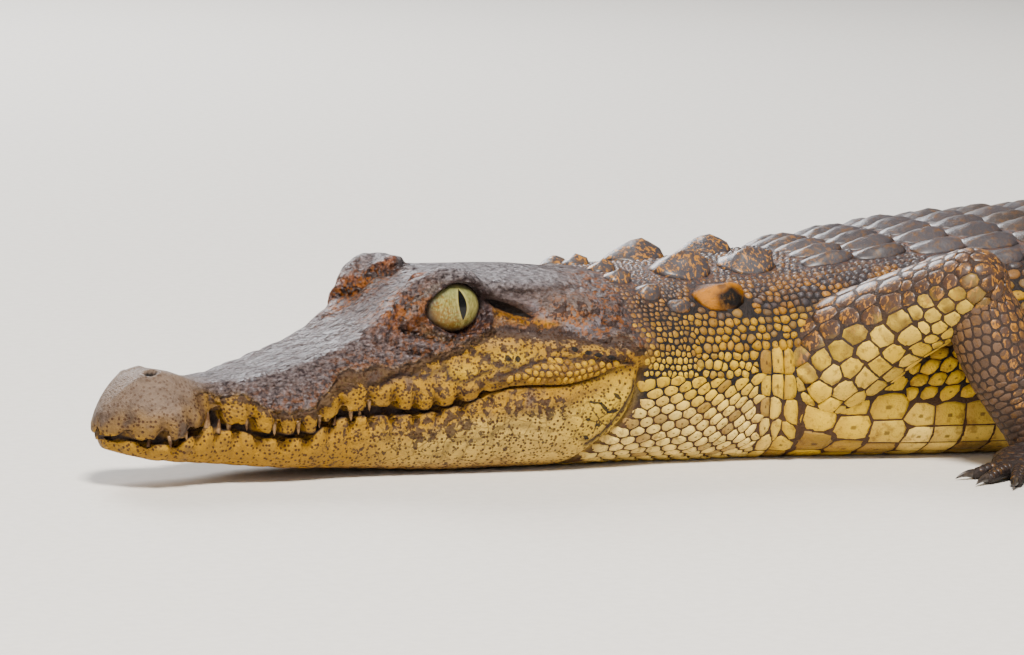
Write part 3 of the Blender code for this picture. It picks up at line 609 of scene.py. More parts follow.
# The markings belong to the places on the body, so that hide and scales share them.
GREY, SLATE, BLACK = (0.15, 0.112, 0.108), (0.05, 0.043, 0.047), (0.005, 0.004, 0.004)
MUSTARD, GOLD, YELLOW = (0.36, 0.18, 0.004), (0.44, 0.23, 0.008), (0.66, 0.41, 0.012)
CREAM, RUST, BROWN = (0.80, 0.57, 0.14), (0.36, 0.09, 0.006), (0.055, 0.025, 0.009)
MUSTARD_HEIGHT = [(0, 5), (13, 6), (22, 5), (28, 2.4), (34, 3.6), (45, 3.8), (52, 4.4), (60, 5.6), (70, 7),
                  (80, 9.5), (90, 12), (100, 12.2), (108, 11.6), (114, 11.4), (121, 10), (125, 8.6), (130, 6),
                  (136, 4), (140, 2)]
JAW_CREASE = [(106, 17), (113, 16.6), (117, 18.6), (124.5, 20.8), (129, 21.8)]


def stain(base, colour, weight):
    return base + (np.array(colour) - base) * np.clip(weight, 0, 1)[..., None]


def layered(base, layers):
    """A colour with others laid over it, each by its own weight at each place."""
    for colour, weight in layers:
        base = stain(base, colour, weight)
    return base


def around(local):
    """Share of the way from the middle of the back, 0, to the middle of the belly, 1."""
    station, out, up = local.T
    half, top = profile(BODY_OUT, station), profile(BODY_TOP, station)
    widest = top * profile(BODY_WIDEST, station)
    above = up > widest
    rise = np.where(above, (up - widest) / (top - widest), -(widest - up) / widest)
    return np.arctan2(np.abs(out) / half, rise) / math.pi


def markings_and_painted_light(local):
    """Colour of the bare hide, with painted shade in its folds, grooves and holes and painted sheen on the
    skull's top, and how much it has of dots, wrinkles, dark specks and rusty flecks.
    """
    station, out, up = local.T
    out = np.abs(out)
    side, top, share = ease(out, 4, 9), profile(TOP, station), around(local)
    swirl = cloud(local, 5) + 0.5 * cloud(local, 2.2, 1)
    fine = cloud(local, 2.6, 7) + 0.5 * cloud(local, 1.3, 8)

    def drawn(line, width):
        return near_line(station, up, line, width)

    def patch(at, radii, tilt=0):
        return spot(station, up, at, radii, tilt)

    beside_jaw = up < 26
    behind = station - np.where(beside_jaw, jaw_end(up), 140 + 2.5 * swirl)
    head = ease(behind / np.where(beside_jaw, 1.5, 7), 1, -0.7)
    from_lip, edge = up - profile(LIP, station), profile(MUSTARD_HEIGHT, station)
    tip, jaw = ease(station + 5 * swirl, 34, 18), ease(from_lip, 0.3, -0.6)
    low = ease(from_lip + 1.2 * swirl, edge + 3.4, edge + 0.8 - 5.5 * ease(station, 26, 20))
    low = low * ease(up, top - 1.5, top - 4)
    murk = low * spot(station, from_lip, (78, 6.5), (24, 4.5)) + 0.7 * jaw * patch((114, 18.5), (8, 3))
    murk += jaw * spot(station, from_lip, (95, -3.5), (22, 3.2))
    murk *= ease(fine + 0.4 * swirl, 0.15, 0.7)
    crease = drawn(JAW_CREASE, 1.3)
    brow = ease(up, top - 7, top - 3) * ease(station, 70, 76)
    brow_rust = near_line(station, out, [(s, o + 1.5) for s, o in BROW_GROOVE], 0.9)
    eye = eye_distance(station, up)
    lids = ease(out, 10, 13) * ease(up, 33, 35)
    off_eye = ease(np.where(lids > 0, eye, 9.0), 1.05, 1.3)
    upper, lower = lips(station)
    inside = ease(up, upper + 0.25, upper - 0.05) * ease(up, lower - 0.25, lower + 0.05)
    inside *= ease(station, 134, 126)
    cleft = (1 - lobes(station, LOBES)) * np.exp(-(np.maximum(up - upper, 0) / 2.6) ** 2) * (up > upper - 0.5)
    below = (1 - lobes(station, MOUNDS)) * np.exp(-(np.maximum(lower - up, 0) / 1.8) ** 2) * (up < lower + 0.5)
    mottle = 0.55 * ease(from_lip + 2 * swirl, 9, 3) * ease(from_lip, 0, 1)
    mottle += 0.5 * ease(fine + 0.3 * swirl, 0.1, 0.8)
    colour = layered(np.broadcast_to(np.array(GREY), local.shape), [
        ((0.18, 0.122, 0.08), 0.85 * tip * ease(up, 14, 20)),
        (MUSTARD, low),
        (MUSTARD, jaw),
        (CREAM, 0.5 * jaw * ease(station, 60, 90) * ease(from_lip + swirl, -3, -9)),
        ((0.30, 0.15, 0.04), 0.8 * jaw * ease(up + swirl, 5, 1) * ease(station, 130, 110)),
        ((0.10, 0.068, 0.062), 0.75 * side * murk),
        ((0.13, 0.06, 0.015), 0.6 * side * jaw * crease),
        (YELLOW, 0.95 * patch((130, 16), (11, 8), 30) * side * jaw * (1 - 0.7 * crease)),
        (BROWN, 0.8 * side * drawn([(101, 24.4), (108, 26), (116, 26), (124, 26.3), (131, 27.2)], 2.2)),
        (YELLOW, 0.5 * side * low * (patch((104, 30), (6, 2)) + patch((92, 26.5), (5, 2)))),
        (RUST, 0.8 * side * ease(swirl, -0.3, 0.4) * patch((81, 41), (7, 4), 40)),
        # Painted sheen: the top of the skull table is lightened to whitish grey.
        ((0.36, 0.33, 0.35),
         0.6 * ease(up, top - 5, top - 1.5) * ease(station, 84, 92) * ease(station, 134, 124)),
        ((0.17, 0.125, 0.10), 0.9 * side * patch((124, 40.2), (9, 4.6), 4)),
        ((0.24, 0.21, 0.235), 0.75 * side * drawn(
            [(114, 42), (117, 38.6), (121, 36.4), (127, 35.8), (131.5, 37), (133, 40), (132.5, 43)], 1.2)),
        # Painted highlight: a pale grey band along the tops of the folds below the ear.
        ((0.30, 0.28, 0.30), 0.6 * side * drawn(
            [(100.4, 36.9), (107.6, 36.2), (113.5, 35), (120.6, 35.4), (125.6, 34.6), (129.6, 33.2),
             (136, 32.4)], 1.1)),
        ((0.30, 0.125, 0.0), 1.4 * side * ease(station, 101, 103) * drawn(
            [(102.5, 41), (106, 39.6), (110.5, 38.6), (115, 37.6), (119, 36.8)], 1.4)),
        ((0.40, 0.22, 0.05),
         0.7 * side * ease(fine, 0.3, -0.2) * drawn([(99, 33.8), (112, 34.2), (124, 33)], 1.5))])
    # Painted shade darkens the hide along each fold's crease.
    for _, width, dark, line in FOLDS:
        painted_fold_shade = dark * side * off_eye * 1.8 * drawn(line, 0.25 + 0.6 * width)
        colour = stain(colour, (0.03, 0.018, 0.012), painted_fold_shade)
    colour = layered(colour, [
        ((0.27, 0.21, 0.17), 0.75 * side * drawn([(79.5, 40), (82.6, 44.4), (86.6, 47.4), (93, 48.8)], 1.3)),
        ((0.42, 0.25, 0.09), 0.6 * lids * np.exp(-((eye - 1.38) / 0.12) ** 2) * ease(up, 41, 36)),
        ((0.05, 0.027, 0.026), lids * ease(eye, 1.26, 1.12)),
        # Painted shade: near black where the lids meet the eyeball.
        ((0.008, 0.006, 0.006), lids * ease(eye, 1.02, 0.94)),
        # Painted shade: the ear's slit is darkened almost to black.
        ((0.02, 0.012, 0.01), 1.6 * side * drawn(EAR, 0.7)),
        (RUST, 0.9 * brow * brow_rust * ease(fine, 0.3, -0.1)),
        # Painted shade along the groove beside the brow.
        ((0.02, 0.012, 0.012), brow * near_line(station, out, BROW_GROOVE, 0.8)),
        ((0.075, 0.047, 0.03), tip * mottle),
        # Painted shade: the nostril's pit is near black.
        (BLACK, ease(nostril_distance(station, out), 1.9, 1.3) * ease(up, 22, 24)),
        # Painted shade in the groove along the back edge of the lower jaw.
        (BROWN, 0.8 * side * drawn(JAW_EDGE, 0.8) * ease(up, -1, 3)),
        # Painted shade: near black in the gap between the closed lips.
        ((0.022, 0.012, 0.009), inside),
        # Painted shade in the clefts between the lips' lobes and on the front wall of the notch.
        (BROWN, 0.9 * (cleft + 0.7 * below) * side * ease(station, 104, 90)),
        (BROWN, 0.85 * side * drawn([(23.5, 22.5), (22.6, 17), (21, 13)], 1.3))])
    # Behind the head the hide shows only between the scales: slate on top, black on the sides as painted shade
    # in the gaps, brown below.
    neck = layered(np.broadcast_to(np.array(SLATE), local.shape), [
        (BLACK, 0.95 * ease(share, 0.17, 0.26)),
        ((0.055, 0.024, 0.008), ease(share, 0.5, 0.62))])
    colour = neck * (1 - head[:, None]) + colour * head[:, None]
    dots = 1.2 * low + jaw * (1 - 0.5 * ease(station, 55, 80)) + 0.7 * patch((124, 40), (12, 6)) + 0.5 * tip
    wrinkles = ease(low + jaw, 0.9, 0.1) * (0.1 + 0.9 * ease(station, 18, 34))
    wrinkles *= 1 - 0.85 * side * patch((122, 39), (15, 8))
    wrinkles *= 1 - 0.9 * side * drawn([(102.6, 43.7), (108.5, 41), (119, 37)], 2)
    start = edge * (0.35 + 0.6 * ease(station, 58, 82))
    specks = low * (0.9 * ease(from_lip + swirl, start, edge + 2) * ease(station, 20, 32)
                    + 0.34 * ease(from_lip, 0.8, 3) * ease(station, 50, 66))
    specks += 0.3 * drawn(
        [(117, 32.4), (121, 31.6), (124.4, 30.7), (126.4, 30.1), (130, 29.5), (134, 28.8)], 0.8)
    specks += 0.42 * drawn([(103, 40.2), (110.5, 38.4), (115, 37.4)], 1.3)
    specks += 0.5 * patch((124, 40.4), (8, 4)) + 0.36 * patch((138, 38), (7, 10))
    specks += jaw * (0.3 * spot(station, from_lip, (86, -4), (22, 4)) + 0.34 * patch((112, 17.5), (8, 2.5))
                     + 0.22 * ease(station, 44, 56) * ease(station, 125, 110))
    flecks = 0.5 * ease(from_lip, edge + 10, edge + 2) * (1 - low) * ease(station, 30, 45)
    flecks += patch((80, 41), (8, 6)) + 0.8 * patch((124, 40.4), (7.5, 3.8))
    flecks += 0.8 * patch((138, 37), (7, 8)) + 0.8 * patch((139, 46), (8, 4))
    flecks = side * flecks + 0.8 * spot(station, out, (83, 7), (10, 5)) * ease(up, top - 5, top - 2)
    marks = np.stack([head * np.clip(dots, 0, 1) * (1 - inside), head * wrinkles,
                      head * side * np.clip(specks, 0, 1),
                      head * flecks + 0.35 * (1 - head) * ease(share, 0.3, 0.1)], axis=-1)
    under_jaw = 0.5 * ease(station, 60, 75) * ease(station, 124, 112) * ease(from_lip, -3, -6)
    plates = head * side * jaw * (patch((127, 13.5), (9, 6.5), 30) + under_jaw)
    return colour, np.clip(marks, 0, 1), np.clip(plates, 0, 1)


def limb_markings(rooms, normals, kinds):
    """The same for the legs, by the share of upper length, lower length and foot at each place."""
    swirl = cloud(rooms, 6, 2) + 0.5 * cloud(rooms, 2.5, 3)
    pale = ease(-normals[:, 2] + 0.25 * swirl, -0.35, 0.25)
    return layered(np.broadcast_to(np.array((0.03, 0.018, 0.013)), rooms.shape), [
        ((0.05, 0.024, 0.008), pale * kinds[:, 1]),
        ((0.015, 0.011, 0.01), kinds[:, 3])])


def dress(made, finish):
    """Gives a mesh its only finish, with smooth faces."""
    made.data.materials.clear()
    made.data.materials.append(finish)
    made.data.shade_smooth()


def attach(mesh, name, kind, values):
    """Stores numbers for each point of a mesh under a name that its material reads."""
    made = mesh.attributes.new(name, kind, "POINT")
    values = np.ascontiguousarray(values, np.float32).ravel()
    made.data.foreach_set("vector" if kind == "FLOAT_VECTOR" else "color", values)


normals = np.empty(len(mesh.vertices) * 3)
mesh.vertices.foreach_get("normal", normals)
normals = normals.reshape(-1, 3)
locals_ = on_body(rooms)
colour, marks, plated = markings_and_painted_light(locals_)
limb = 1 - kinds[:, :1]
colour = colour * (1 - limb) + limb_markings(rooms, normals, kinds) * limb
attach(mesh, "paint", "FLOAT_COLOR", np.c_[colour, plated])
attach(mesh, "marks", "FLOAT_COLOR", marks * (1 - limb))
attach(mesh, "lie", "FLOAT_VECTOR", locals_)


class Wire:
    """A shader socket that can be reckoned with; node() leads it and plain values into any other node."""

    def __init__(self, tree, socket):
        self.tree, self.socket = tree, socket

    def node(self, kind, inputs=(), output=0, **settings):
        made = self.tree.nodes.new(kind)
        for name, value in settings.items():
            setattr(made, name, value)
        for key, value in dict(inputs).items():
            if isinstance(value, Wire):
                self.tree.links.new(value.socket, made.inputs[key])
            else:
                made.inputs[key].default_value = value
        return Wire(self.tree, made.outputs[output])

    def sum(self, operation, *values):
        return self.node("ShaderNodeMath", enumerate(values), operation=operation, use_clamp=False)

    def __add__(self, other):
        return self.sum("ADD", self, other)

    __radd__ = __add__

    def __sub__(self, other):
        return self.sum("SUBTRACT", self, other)

    def __rsub__(self, other):
        return self.sum("SUBTRACT", other, self)

    def __mul__(self, other):
        return self.sum("MULTIPLY", self, other)

    __rmul__ = __mul__

    def __truediv__(self, other):
        return self.sum("DIVIDE", self, other)

    def above(self, low, high):
        """0 below low, 1 above high, soft between."""
        return self.node("ShaderNodeMapRange", {0: self, 1: low, 2: high, 3: 0.0, 4: 1.0},
                         interpolation_type="SMOOTHSTEP")

    def mixed(self, first, second):
        """From the first colour, where this is 0, to the second, where it is 1."""
        pair = [(*c, 1) if isinstance(c, tuple) else c for c in (first, second)]
        return self.node("ShaderNodeMix", {0: self, 6: pair[0], 7: pair[1]}, 2, data_type="RGBA")


def finish(name):
    """A new material: its shader, and a Wire to build from."""
    made = bpy.data.materials.new(name)
    made.use_nodes = True
    shader = made.node_tree.nodes["Principled BSDF"]
    return made, shader, Wire(made.node_tree, None)


def lead(wire, shader, socket):
    wire.tree.links.new(wire.socket, shader.inputs[socket])


def bump(height, distance, strength, after=None):
    inputs = {"Height": height, "Distance": distance * MM, "Strength": strength}
    if after:
        inputs["Normal"] = after
    return height.node("ShaderNodeBump", inputs)


hide_finish, shader, wire = finish("crocodile_hide")
paint = wire.node("ShaderNodeAttribute", output=0, attribute_name="paint")
marks = wire.node("ShaderNodeAttribute", output=0, attribute_name="marks")
flecks = wire.node("ShaderNodeAttribute", output=3, attribute_name="marks")
split = marks.node("ShaderNodeSeparateColor", {0: marks})
dots, wrinkles, specks = (Wire(wire.tree, split.socket.node.outputs[i]) for i in range(3))
lie = wire.node("ShaderNodeAttribute", output=1, attribute_name="lie")
drawn = lie.node("ShaderNodeMapping", {0: lie, 3: (0.5, 1, 1)})
mottle = lie.node("ShaderNodeTexNoise", {"Vector": lie, "Scale": 0.35, "Detail": 4.0, "Roughness": 0.6})
grain = lie.node("ShaderNodeTexNoise", {"Vector": lie, "Scale": 1.6, "Detail": 3.0, "Roughness": 0.6})
creases = drawn.node("ShaderNodeTexNoise", {"Vector": drawn, "Scale": 1.3, "Detail": 4.0, "Roughness": 0.65})
lumps = lie.node("ShaderNodeTexNoise", {"Vector": lie, "Scale": 0.32, "Detail": 2.0, "Roughness": 0.5})
pores = lie.node("ShaderNodeTexVoronoi", {"Vector": lie, "Scale": 0.95, "Randomness": 0.85}, feature="F1")
rusty = lie.node("ShaderNodeTexNoise", {"Vector": lie, "Scale": 0.75, "Detail": 3.0, "Distortion": 0.6})
rusty = rusty.above(0.5, 0.56)
dark = lie.node("ShaderNodeTexNoise",
                {"Vector": lie, "Scale": 0.55, "Detail": 3.5, "Roughness": 0.6, "Distortion": 0.5})
colour = (mottle.above(0.35, 0.75) * 0.35).mixed(paint, (0.05, 0.03, 0.022))
# Painted sheen on the ridges of the wrinkles, then painted shade in their creases.
colour = (creases.above(0.52, 0.7) * wrinkles * 0.55).mixed(colour, (0.38, 0.34, 0.36))
colour = (creases.above(0.52, 0.4) * wrinkles * 0.85).mixed(colour, (0.022, 0.013, 0.015))
colour = (rusty * flecks * 0.85).mixed(colour, (0.30, 0.095, 0.012))
colour = ((dark + specks * 0.42).above(0.66, 0.72) * 0.85).mixed(colour, (0.03, 0.016, 0.014))
dot = pores.above(0.4, 0.26) * mottle.above(0.22, 0.36)
colour = (dot * dots * 0.9).mixed(colour, (0.05, 0.018, 0.005))
plated = wire.node("ShaderNodeAttribute", output=3, attribute_name="paint")
crooked = lie.node("ShaderNodeVectorMath", {0: lie, 1: grain}, operation="ADD")
cracks = crooked.node("ShaderNodeTexVoronoi", {"Vector": crooked, "Scale": 0.21, "Randomness": 0.9},
                      feature="DISTANCE_TO_EDGE")
cracks = cracks.above(0.05, 0.02) * mottle.above(0.3, 0.45)
colour = (cracks * plated * 0.9).mixed(colour, (0.05, 0.024, 0.008))
places = lie.node("ShaderNodeSeparateXYZ", {0: lie})
along, out, over = (Wire(wire.tree, places.socket.node.outputs[i]) for i in range(3))
out = out.sum("ABSOLUTE", out)
aside, ahead = (out - NOSTRIL[1]) * 1.15, along - NOSTRIL[0]
nostril = (aside * aside + ahead * ahead).above(2.6, 1.6) * over.above(24, 25)
# Painted shade: the nostril's pit is near black.
colour = nostril.mixed(colour, (0.003, 0.003, 0.003))
out = out.above(12, 13)
# Near-black marks: the first, along the ear, is painted shade in the ear's slit; the others are black spots and
# crescents.
STREAKS = [((108.5, 41.3), 6.1, 1.1, -0.4), ((126, 18.1), 2.2, 0.35, -0.15), ((128.6, 16.8), 1.7, 0.7, -0.85),
           ((131.3, 15.6), 2, 0.55, 0.1), ((132.4, 19.4), 1.3, 0.65, -0.6), ((124.3, 13.8), 0.8, 0.5, 0),
           ((127.6, 12.2), 1.0, 0.45, -0.2), ((125, 9), 0.9, 0.5, -0.4), ((103, 29.9), 0.9, 0.8, 0),
           ((105.5, 29.7), 0.8, 0.8, 0), ((121, 31.7), 0.9, 0.7, 0), ((124.2, 30.8), 1.0, 0.6, 0),
           ((126.6, 30.2), 1.1, 0.6, 0), ((130, 29.5), 1.8, 0.6, -0.2)]  # middle, half length and width, slope
for at, half, thick, slope in STREAKS:
    reach, off = (along - at[0]) / half, over - at[1] - (along - at[0]) * slope
    streak = (thick - reach * reach * thick - off.sum("ABSOLUTE", off) + (grain - 0.5) * 0.5).above(-0.1, 0.1)
    colour = (streak * out * 0.93).mixed(colour, (0.004, 0.003, 0.003))
lead(colour, shader, "Base Color")
lead(0.52 - wrinkles * 0.27 + grain * 0.16, shader, "Roughness")
shader.inputs["Specular IOR Level"].default_value = 0.24
rough = bump(creases * wrinkles, 3.0, 1.0)
rough = bump(grain, 0.5, 1.0, rough)
rough = bump(pores * wrinkles * -1.0, 0.7, 0.8, rough)
rough = bump(dot * dots * -1.0, 0.2, 0.8, rough)
rough = bump(lumps * (wrinkles + specks), 4.0, 0.9, rough)
lead(rough, shader, "Normal")
mesh.materials.append(hide_finish)
flesh = ["head", "lower_jaw", "neck", "front_trunk", "rear_trunk", "tail_root", "tail_middle", "tail_end"]
flesh += [f"{name}_{part}" for name in tubes for part in ("upper_leg", "lower_leg", "foot")]
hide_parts(*flesh)
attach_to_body(hide, "root")


# Scales of the neck, trunk and belly ------------------------------------------------------------------------
# Horny plates that grow out of the hide, each a low closed dome with painted shade darkening its edge: beads on
# the neck, ovals on the flanks, flat tiles in rows under the throat and belly.

class Wrap:
    """Places on the hide by station and by share of the way down the side; at() gives points and normals."""

    def __init__(self, first, last, step):
        self.stations = np.arange(first, last + step / 2, step)
        side = local_surface(self.stations)
        reach = np.linalg.norm(np.diff(side[..., 1:], axis=1), axis=-1)
        arc = np.concatenate([np.zeros((len(side), 1)), np.cumsum(reach, axis=1)], axis=1)
        self.girth = arc[:, -1]
        shares = np.linspace(0, 1, 241)
        self.places = np.array([[np.interp(shares, run / run[-1], points[:, k]) for k in range(3)]
                                for run, points in zip(arc, side)]).transpose(0, 2, 1)
        along, down = np.gradient(self.places, self.stations, axis=0), np.gradient(self.places, axis=1)
        along[:, 0, 1] = along[:, -1, 1] = 0
        down[:, 0, 2] = down[:, -1, 2] = 0
        self.normals = np.cross(along, down)
        self.normals /= np.linalg.norm(self.normals, axis=-1)[..., None] + 1e-9

    def wide(self, station):
        return np.interp(station, self.stations, self.girth)

    def at(self, station, share, side, lift=0.0):
        side = side * np.where((share < 0) | (share > 1), -1, 1)
        share = np.where(share < 0, -share, np.where(share > 1, 2 - share, share))
        row = np.interp(station, self.stations, np.arange(len(self.stations)))
        column = np.clip(share, 0, 1) * 240
        i, j = np.minimum(row.astype(int), len(self.stations) - 2), np.minimum(column.astype(int), 239)
        u, v = (row - i)[..., None], (column - j)[..., None]

        def read(table):
            return ((table[i, j] * (1 - u) + table[i + 1, j] * u) * (1 - v)
                    + (table[i, j + 1] * (1 - u) + table[i + 1, j + 1] * u) * v)
        normal = read(self.normals)
        normal /= np.linalg.norm(normal, axis=-1)[..., None]
        local = (read(self.places) + normal * np.asarray(lift)[..., None])
        local[..., 2] = np.maximum(local[..., 2], 0)
        local[..., 1] *= side
        return local


wrap = Wrap(96, 1000, 1.0)
GAP = 0.13  # between one scale and the next
dice = np.random.default_rng(11)


class Scales:
    """A growing list of scales, each with its place, half sizes, turn, height and kind of outline."""

    def __init__(self):
        self.rows = []

    def add(self, station, share, side, long, wide, height, turn=0.0, square=2.6, keel=0.0, lean=0.0, kind=0.0):
        self.rows.append((station, share, side, long, wide, height, turn, square, keel, lean, kind))

    def array(self):
        return np.array(self.rows, float)


def cells(data, crowd, measure, angle):
    """How far each scale can reach at each angle, in shares of its own size, before it meets its neighbours."""
    crowd = crowd[np.argsort(crowd[:, 0])]
    reach = np.full((len(data), len(angle)), 9.0)
    c, s = np.cos(angle), np.sin(angle)
    for i, (station, share, side, long, wide, _, turn, *_) in enumerate(data):
        first, last = np.searchsorted(crowd[:, 0], (station - 14, station + 14))
        near = crowd[first:last]
        away = np.stack([near[:, 0] - station, (near[:, 1] - share) * measure[i]], axis=-1)
        ahead, aside = math.cos(turn), math.sin(turn)
        away = away @ np.array([[ahead * wide / long, -aside], [aside * wide / long, ahead]])
        apart = (away ** 2).sum(axis=1)
        chosen = (near[:, 2] == side) & (apart > 1e-6) & (apart < 400)
        away, apart, near = away[chosen], apart[chosen], near[chosen]
        edge = np.maximum((apart + wide * wide - near[:, 3] * near[:, 4] * wide / long) / 2, 0.2 * apart)
        toward = away @ np.stack([wide * c, wide * s])
        limit = np.where(toward > 1e-6, edge[:, None] / np.maximum(toward, 1e-6), 9.0)
        limit = limit.min(axis=0, initial=9.0)
        reach[i] = np.maximum(limit - GAP / np.hypot(long * c, wide * s), 0.2 * limit)
    return reach


def grow(name, scales, sides, levels, surface, paint, finish, slot, bake, crowd, measure):
    """One joined mesh of closed scales. levels are (share of radius, share of height) from the middle out.

    surface(u, v, side, lift) gives points in the room; u and v are places, in the units of the scales' sizes.
    """
    data = scales.array()
    count = len(data)
    station, share, side, long, wide, height, turn, square, keel, lean = (data[:, k, None] for k in range(10))
    angle = 2 * math.pi * (np.arange(sides) + 0.5) / sides
    uneven = 1 + 0.03 * dice.standard_normal((count, sides))
    c, s = np.cos(angle)[None], np.sin(angle)[None]
    q = (np.abs(c) ** square + np.abs(s) ** square) ** (-1 / square) * uneven
    q = (q ** -12 + (1.03 * cells(data, crowd, measure(data[:, 0]), angle)) ** -12) ** (-1 / 12)
    u = np.concatenate([np.zeros((count, 1))] + [r * c * q for r, _ in levels] + [0.92 * c * q], axis=1)
    v = np.concatenate([np.zeros((count, 1))] + [r * s * q for r, _ in levels] + [0.92 * s * q], axis=1)
    rise = np.concatenate([[1.0]] + [np.full(sides, h) for _, h in levels] + [np.zeros(sides)])[None]
    radius = np.concatenate([[0.0]] + [np.full(sides, r) for r, _ in levels] + [np.ones(sides)])[None]
    on_top = radius < 0.97
    ridge = np.maximum(0, 1 - np.abs(v) / 0.8) * np.clip(1 - ((u - 0.2) / 1.15) ** 2, 0, 1) * on_top
    knobs = np.sin(6.5 * u + 6.3 * dice.random((count, 1))) * np.cos(5.5 * v + 6.3 * dice.random((count, 1)))
    lift = height * rise + keel * (ridge + 0.14 * knobs * on_top) - 0.12
    lift = lift + lean * np.clip(u, -1, 1) * np.minimum(1, 1.6 * (1.08 - radius))
    lift[:, -sides:] = -0.55
    along = long * u * np.cos(turn) - wide * v * np.sin(turn)
    across = long * u * np.sin(turn) + wide * v * np.cos(turn)
    places, locals_here = surface(station + along, share, across, side + 0 * u, lift)
    per = u.shape[1]
    one = [(0, 1 + k, 1 + (k + 1) % sides) for k in range(sides)]
    for a in range(1, 1 + len(levels) * sides, sides):
        b = a + sides
        one += [(a + k, b + k, b + (k + 1) % sides, a + (k + 1) % sides) for k in range(sides)]
    one.append(tuple(range(per - sides, per))[::-1])
    corners = np.concatenate([np.array(f) for f in one])
    sizes = np.array([len(f) for f in one])
    mesh = bpy.data.meshes.new(name)
    mesh.vertices.add(count * per)
    mesh.vertices.foreach_set("co", (places.reshape(-1, 3) * MM).ravel())
    loops = corners[None] + per * np.arange(count)[:, None]
    flip = (data[:, 2] < 0) | ("leg" in name)
    starts = np.concatenate([[0], np.cumsum(sizes)[:-1]])
    backward = np.concatenate([np.arange(a + n - 1, a - 1, -1) for a, n in zip(starts, sizes)])
    loops[flip] = loops[flip][:, backward]
    mesh.loops.add(loops.size)
    mesh.loops.foreach_set("vertex_index", loops.ravel())
    mesh.polygons.add(count * len(sizes))
    mesh.polygons.foreach_set("loop_start", (starts[None] + len(corners) * np.arange(count)[:, None]).ravel())
    mesh.update(calc_edges=True)
    colour, marks = paint(data, locals_here, radius + 0 * u, u, v)
    attach(mesh, "paint", "FLOAT_COLOR", np.c_[colour.reshape(-1, 3), np.ones(count * per)])
    attach(mesh, "marks", "FLOAT_COLOR", marks.reshape(-1, 4))
    attach(mesh, "lie", "FLOAT_VECTOR", locals_here.reshape(-1, 3))
    root = bake(data)
    uv = np.stack([root[:, :1] + 0.0015 * u, root[:, 1:] + 0.0015 * v], axis=-1).reshape(-1, 2)
    layer = mesh.uv_layers.new(name="OFBake")
    layer.data.foreach_set("uv", uv[loops.ravel()].ravel().astype(np.float32))
    mesh.shade_smooth()
    made = bpy.data.objects.new(name, mesh)
    bpy.context.scene.collection.objects.link(made)
    mesh.materials.append(finish)
    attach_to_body(made, "root")
    return made


def on_wrap(station, share, across, side, lift):
    """Scales placed by station and share of the girth, with their sizes in millimetres."""
    local = wrap.at(station, share + across / wrap.wide(station), side, lift)
    return in_room(local), local


def body_bake(data):
    return np.stack([0.02 + 0.96 * data[:, 0] / LENGTH, 0.7 + 0.25 * data[:, 1] * data[:, 2]], axis=-1)


def tail_wave(station):
    """A wave along the tail, which is high in its dark bands."""
    return np.sin((station - 505) / 50 * 2 * math.pi)


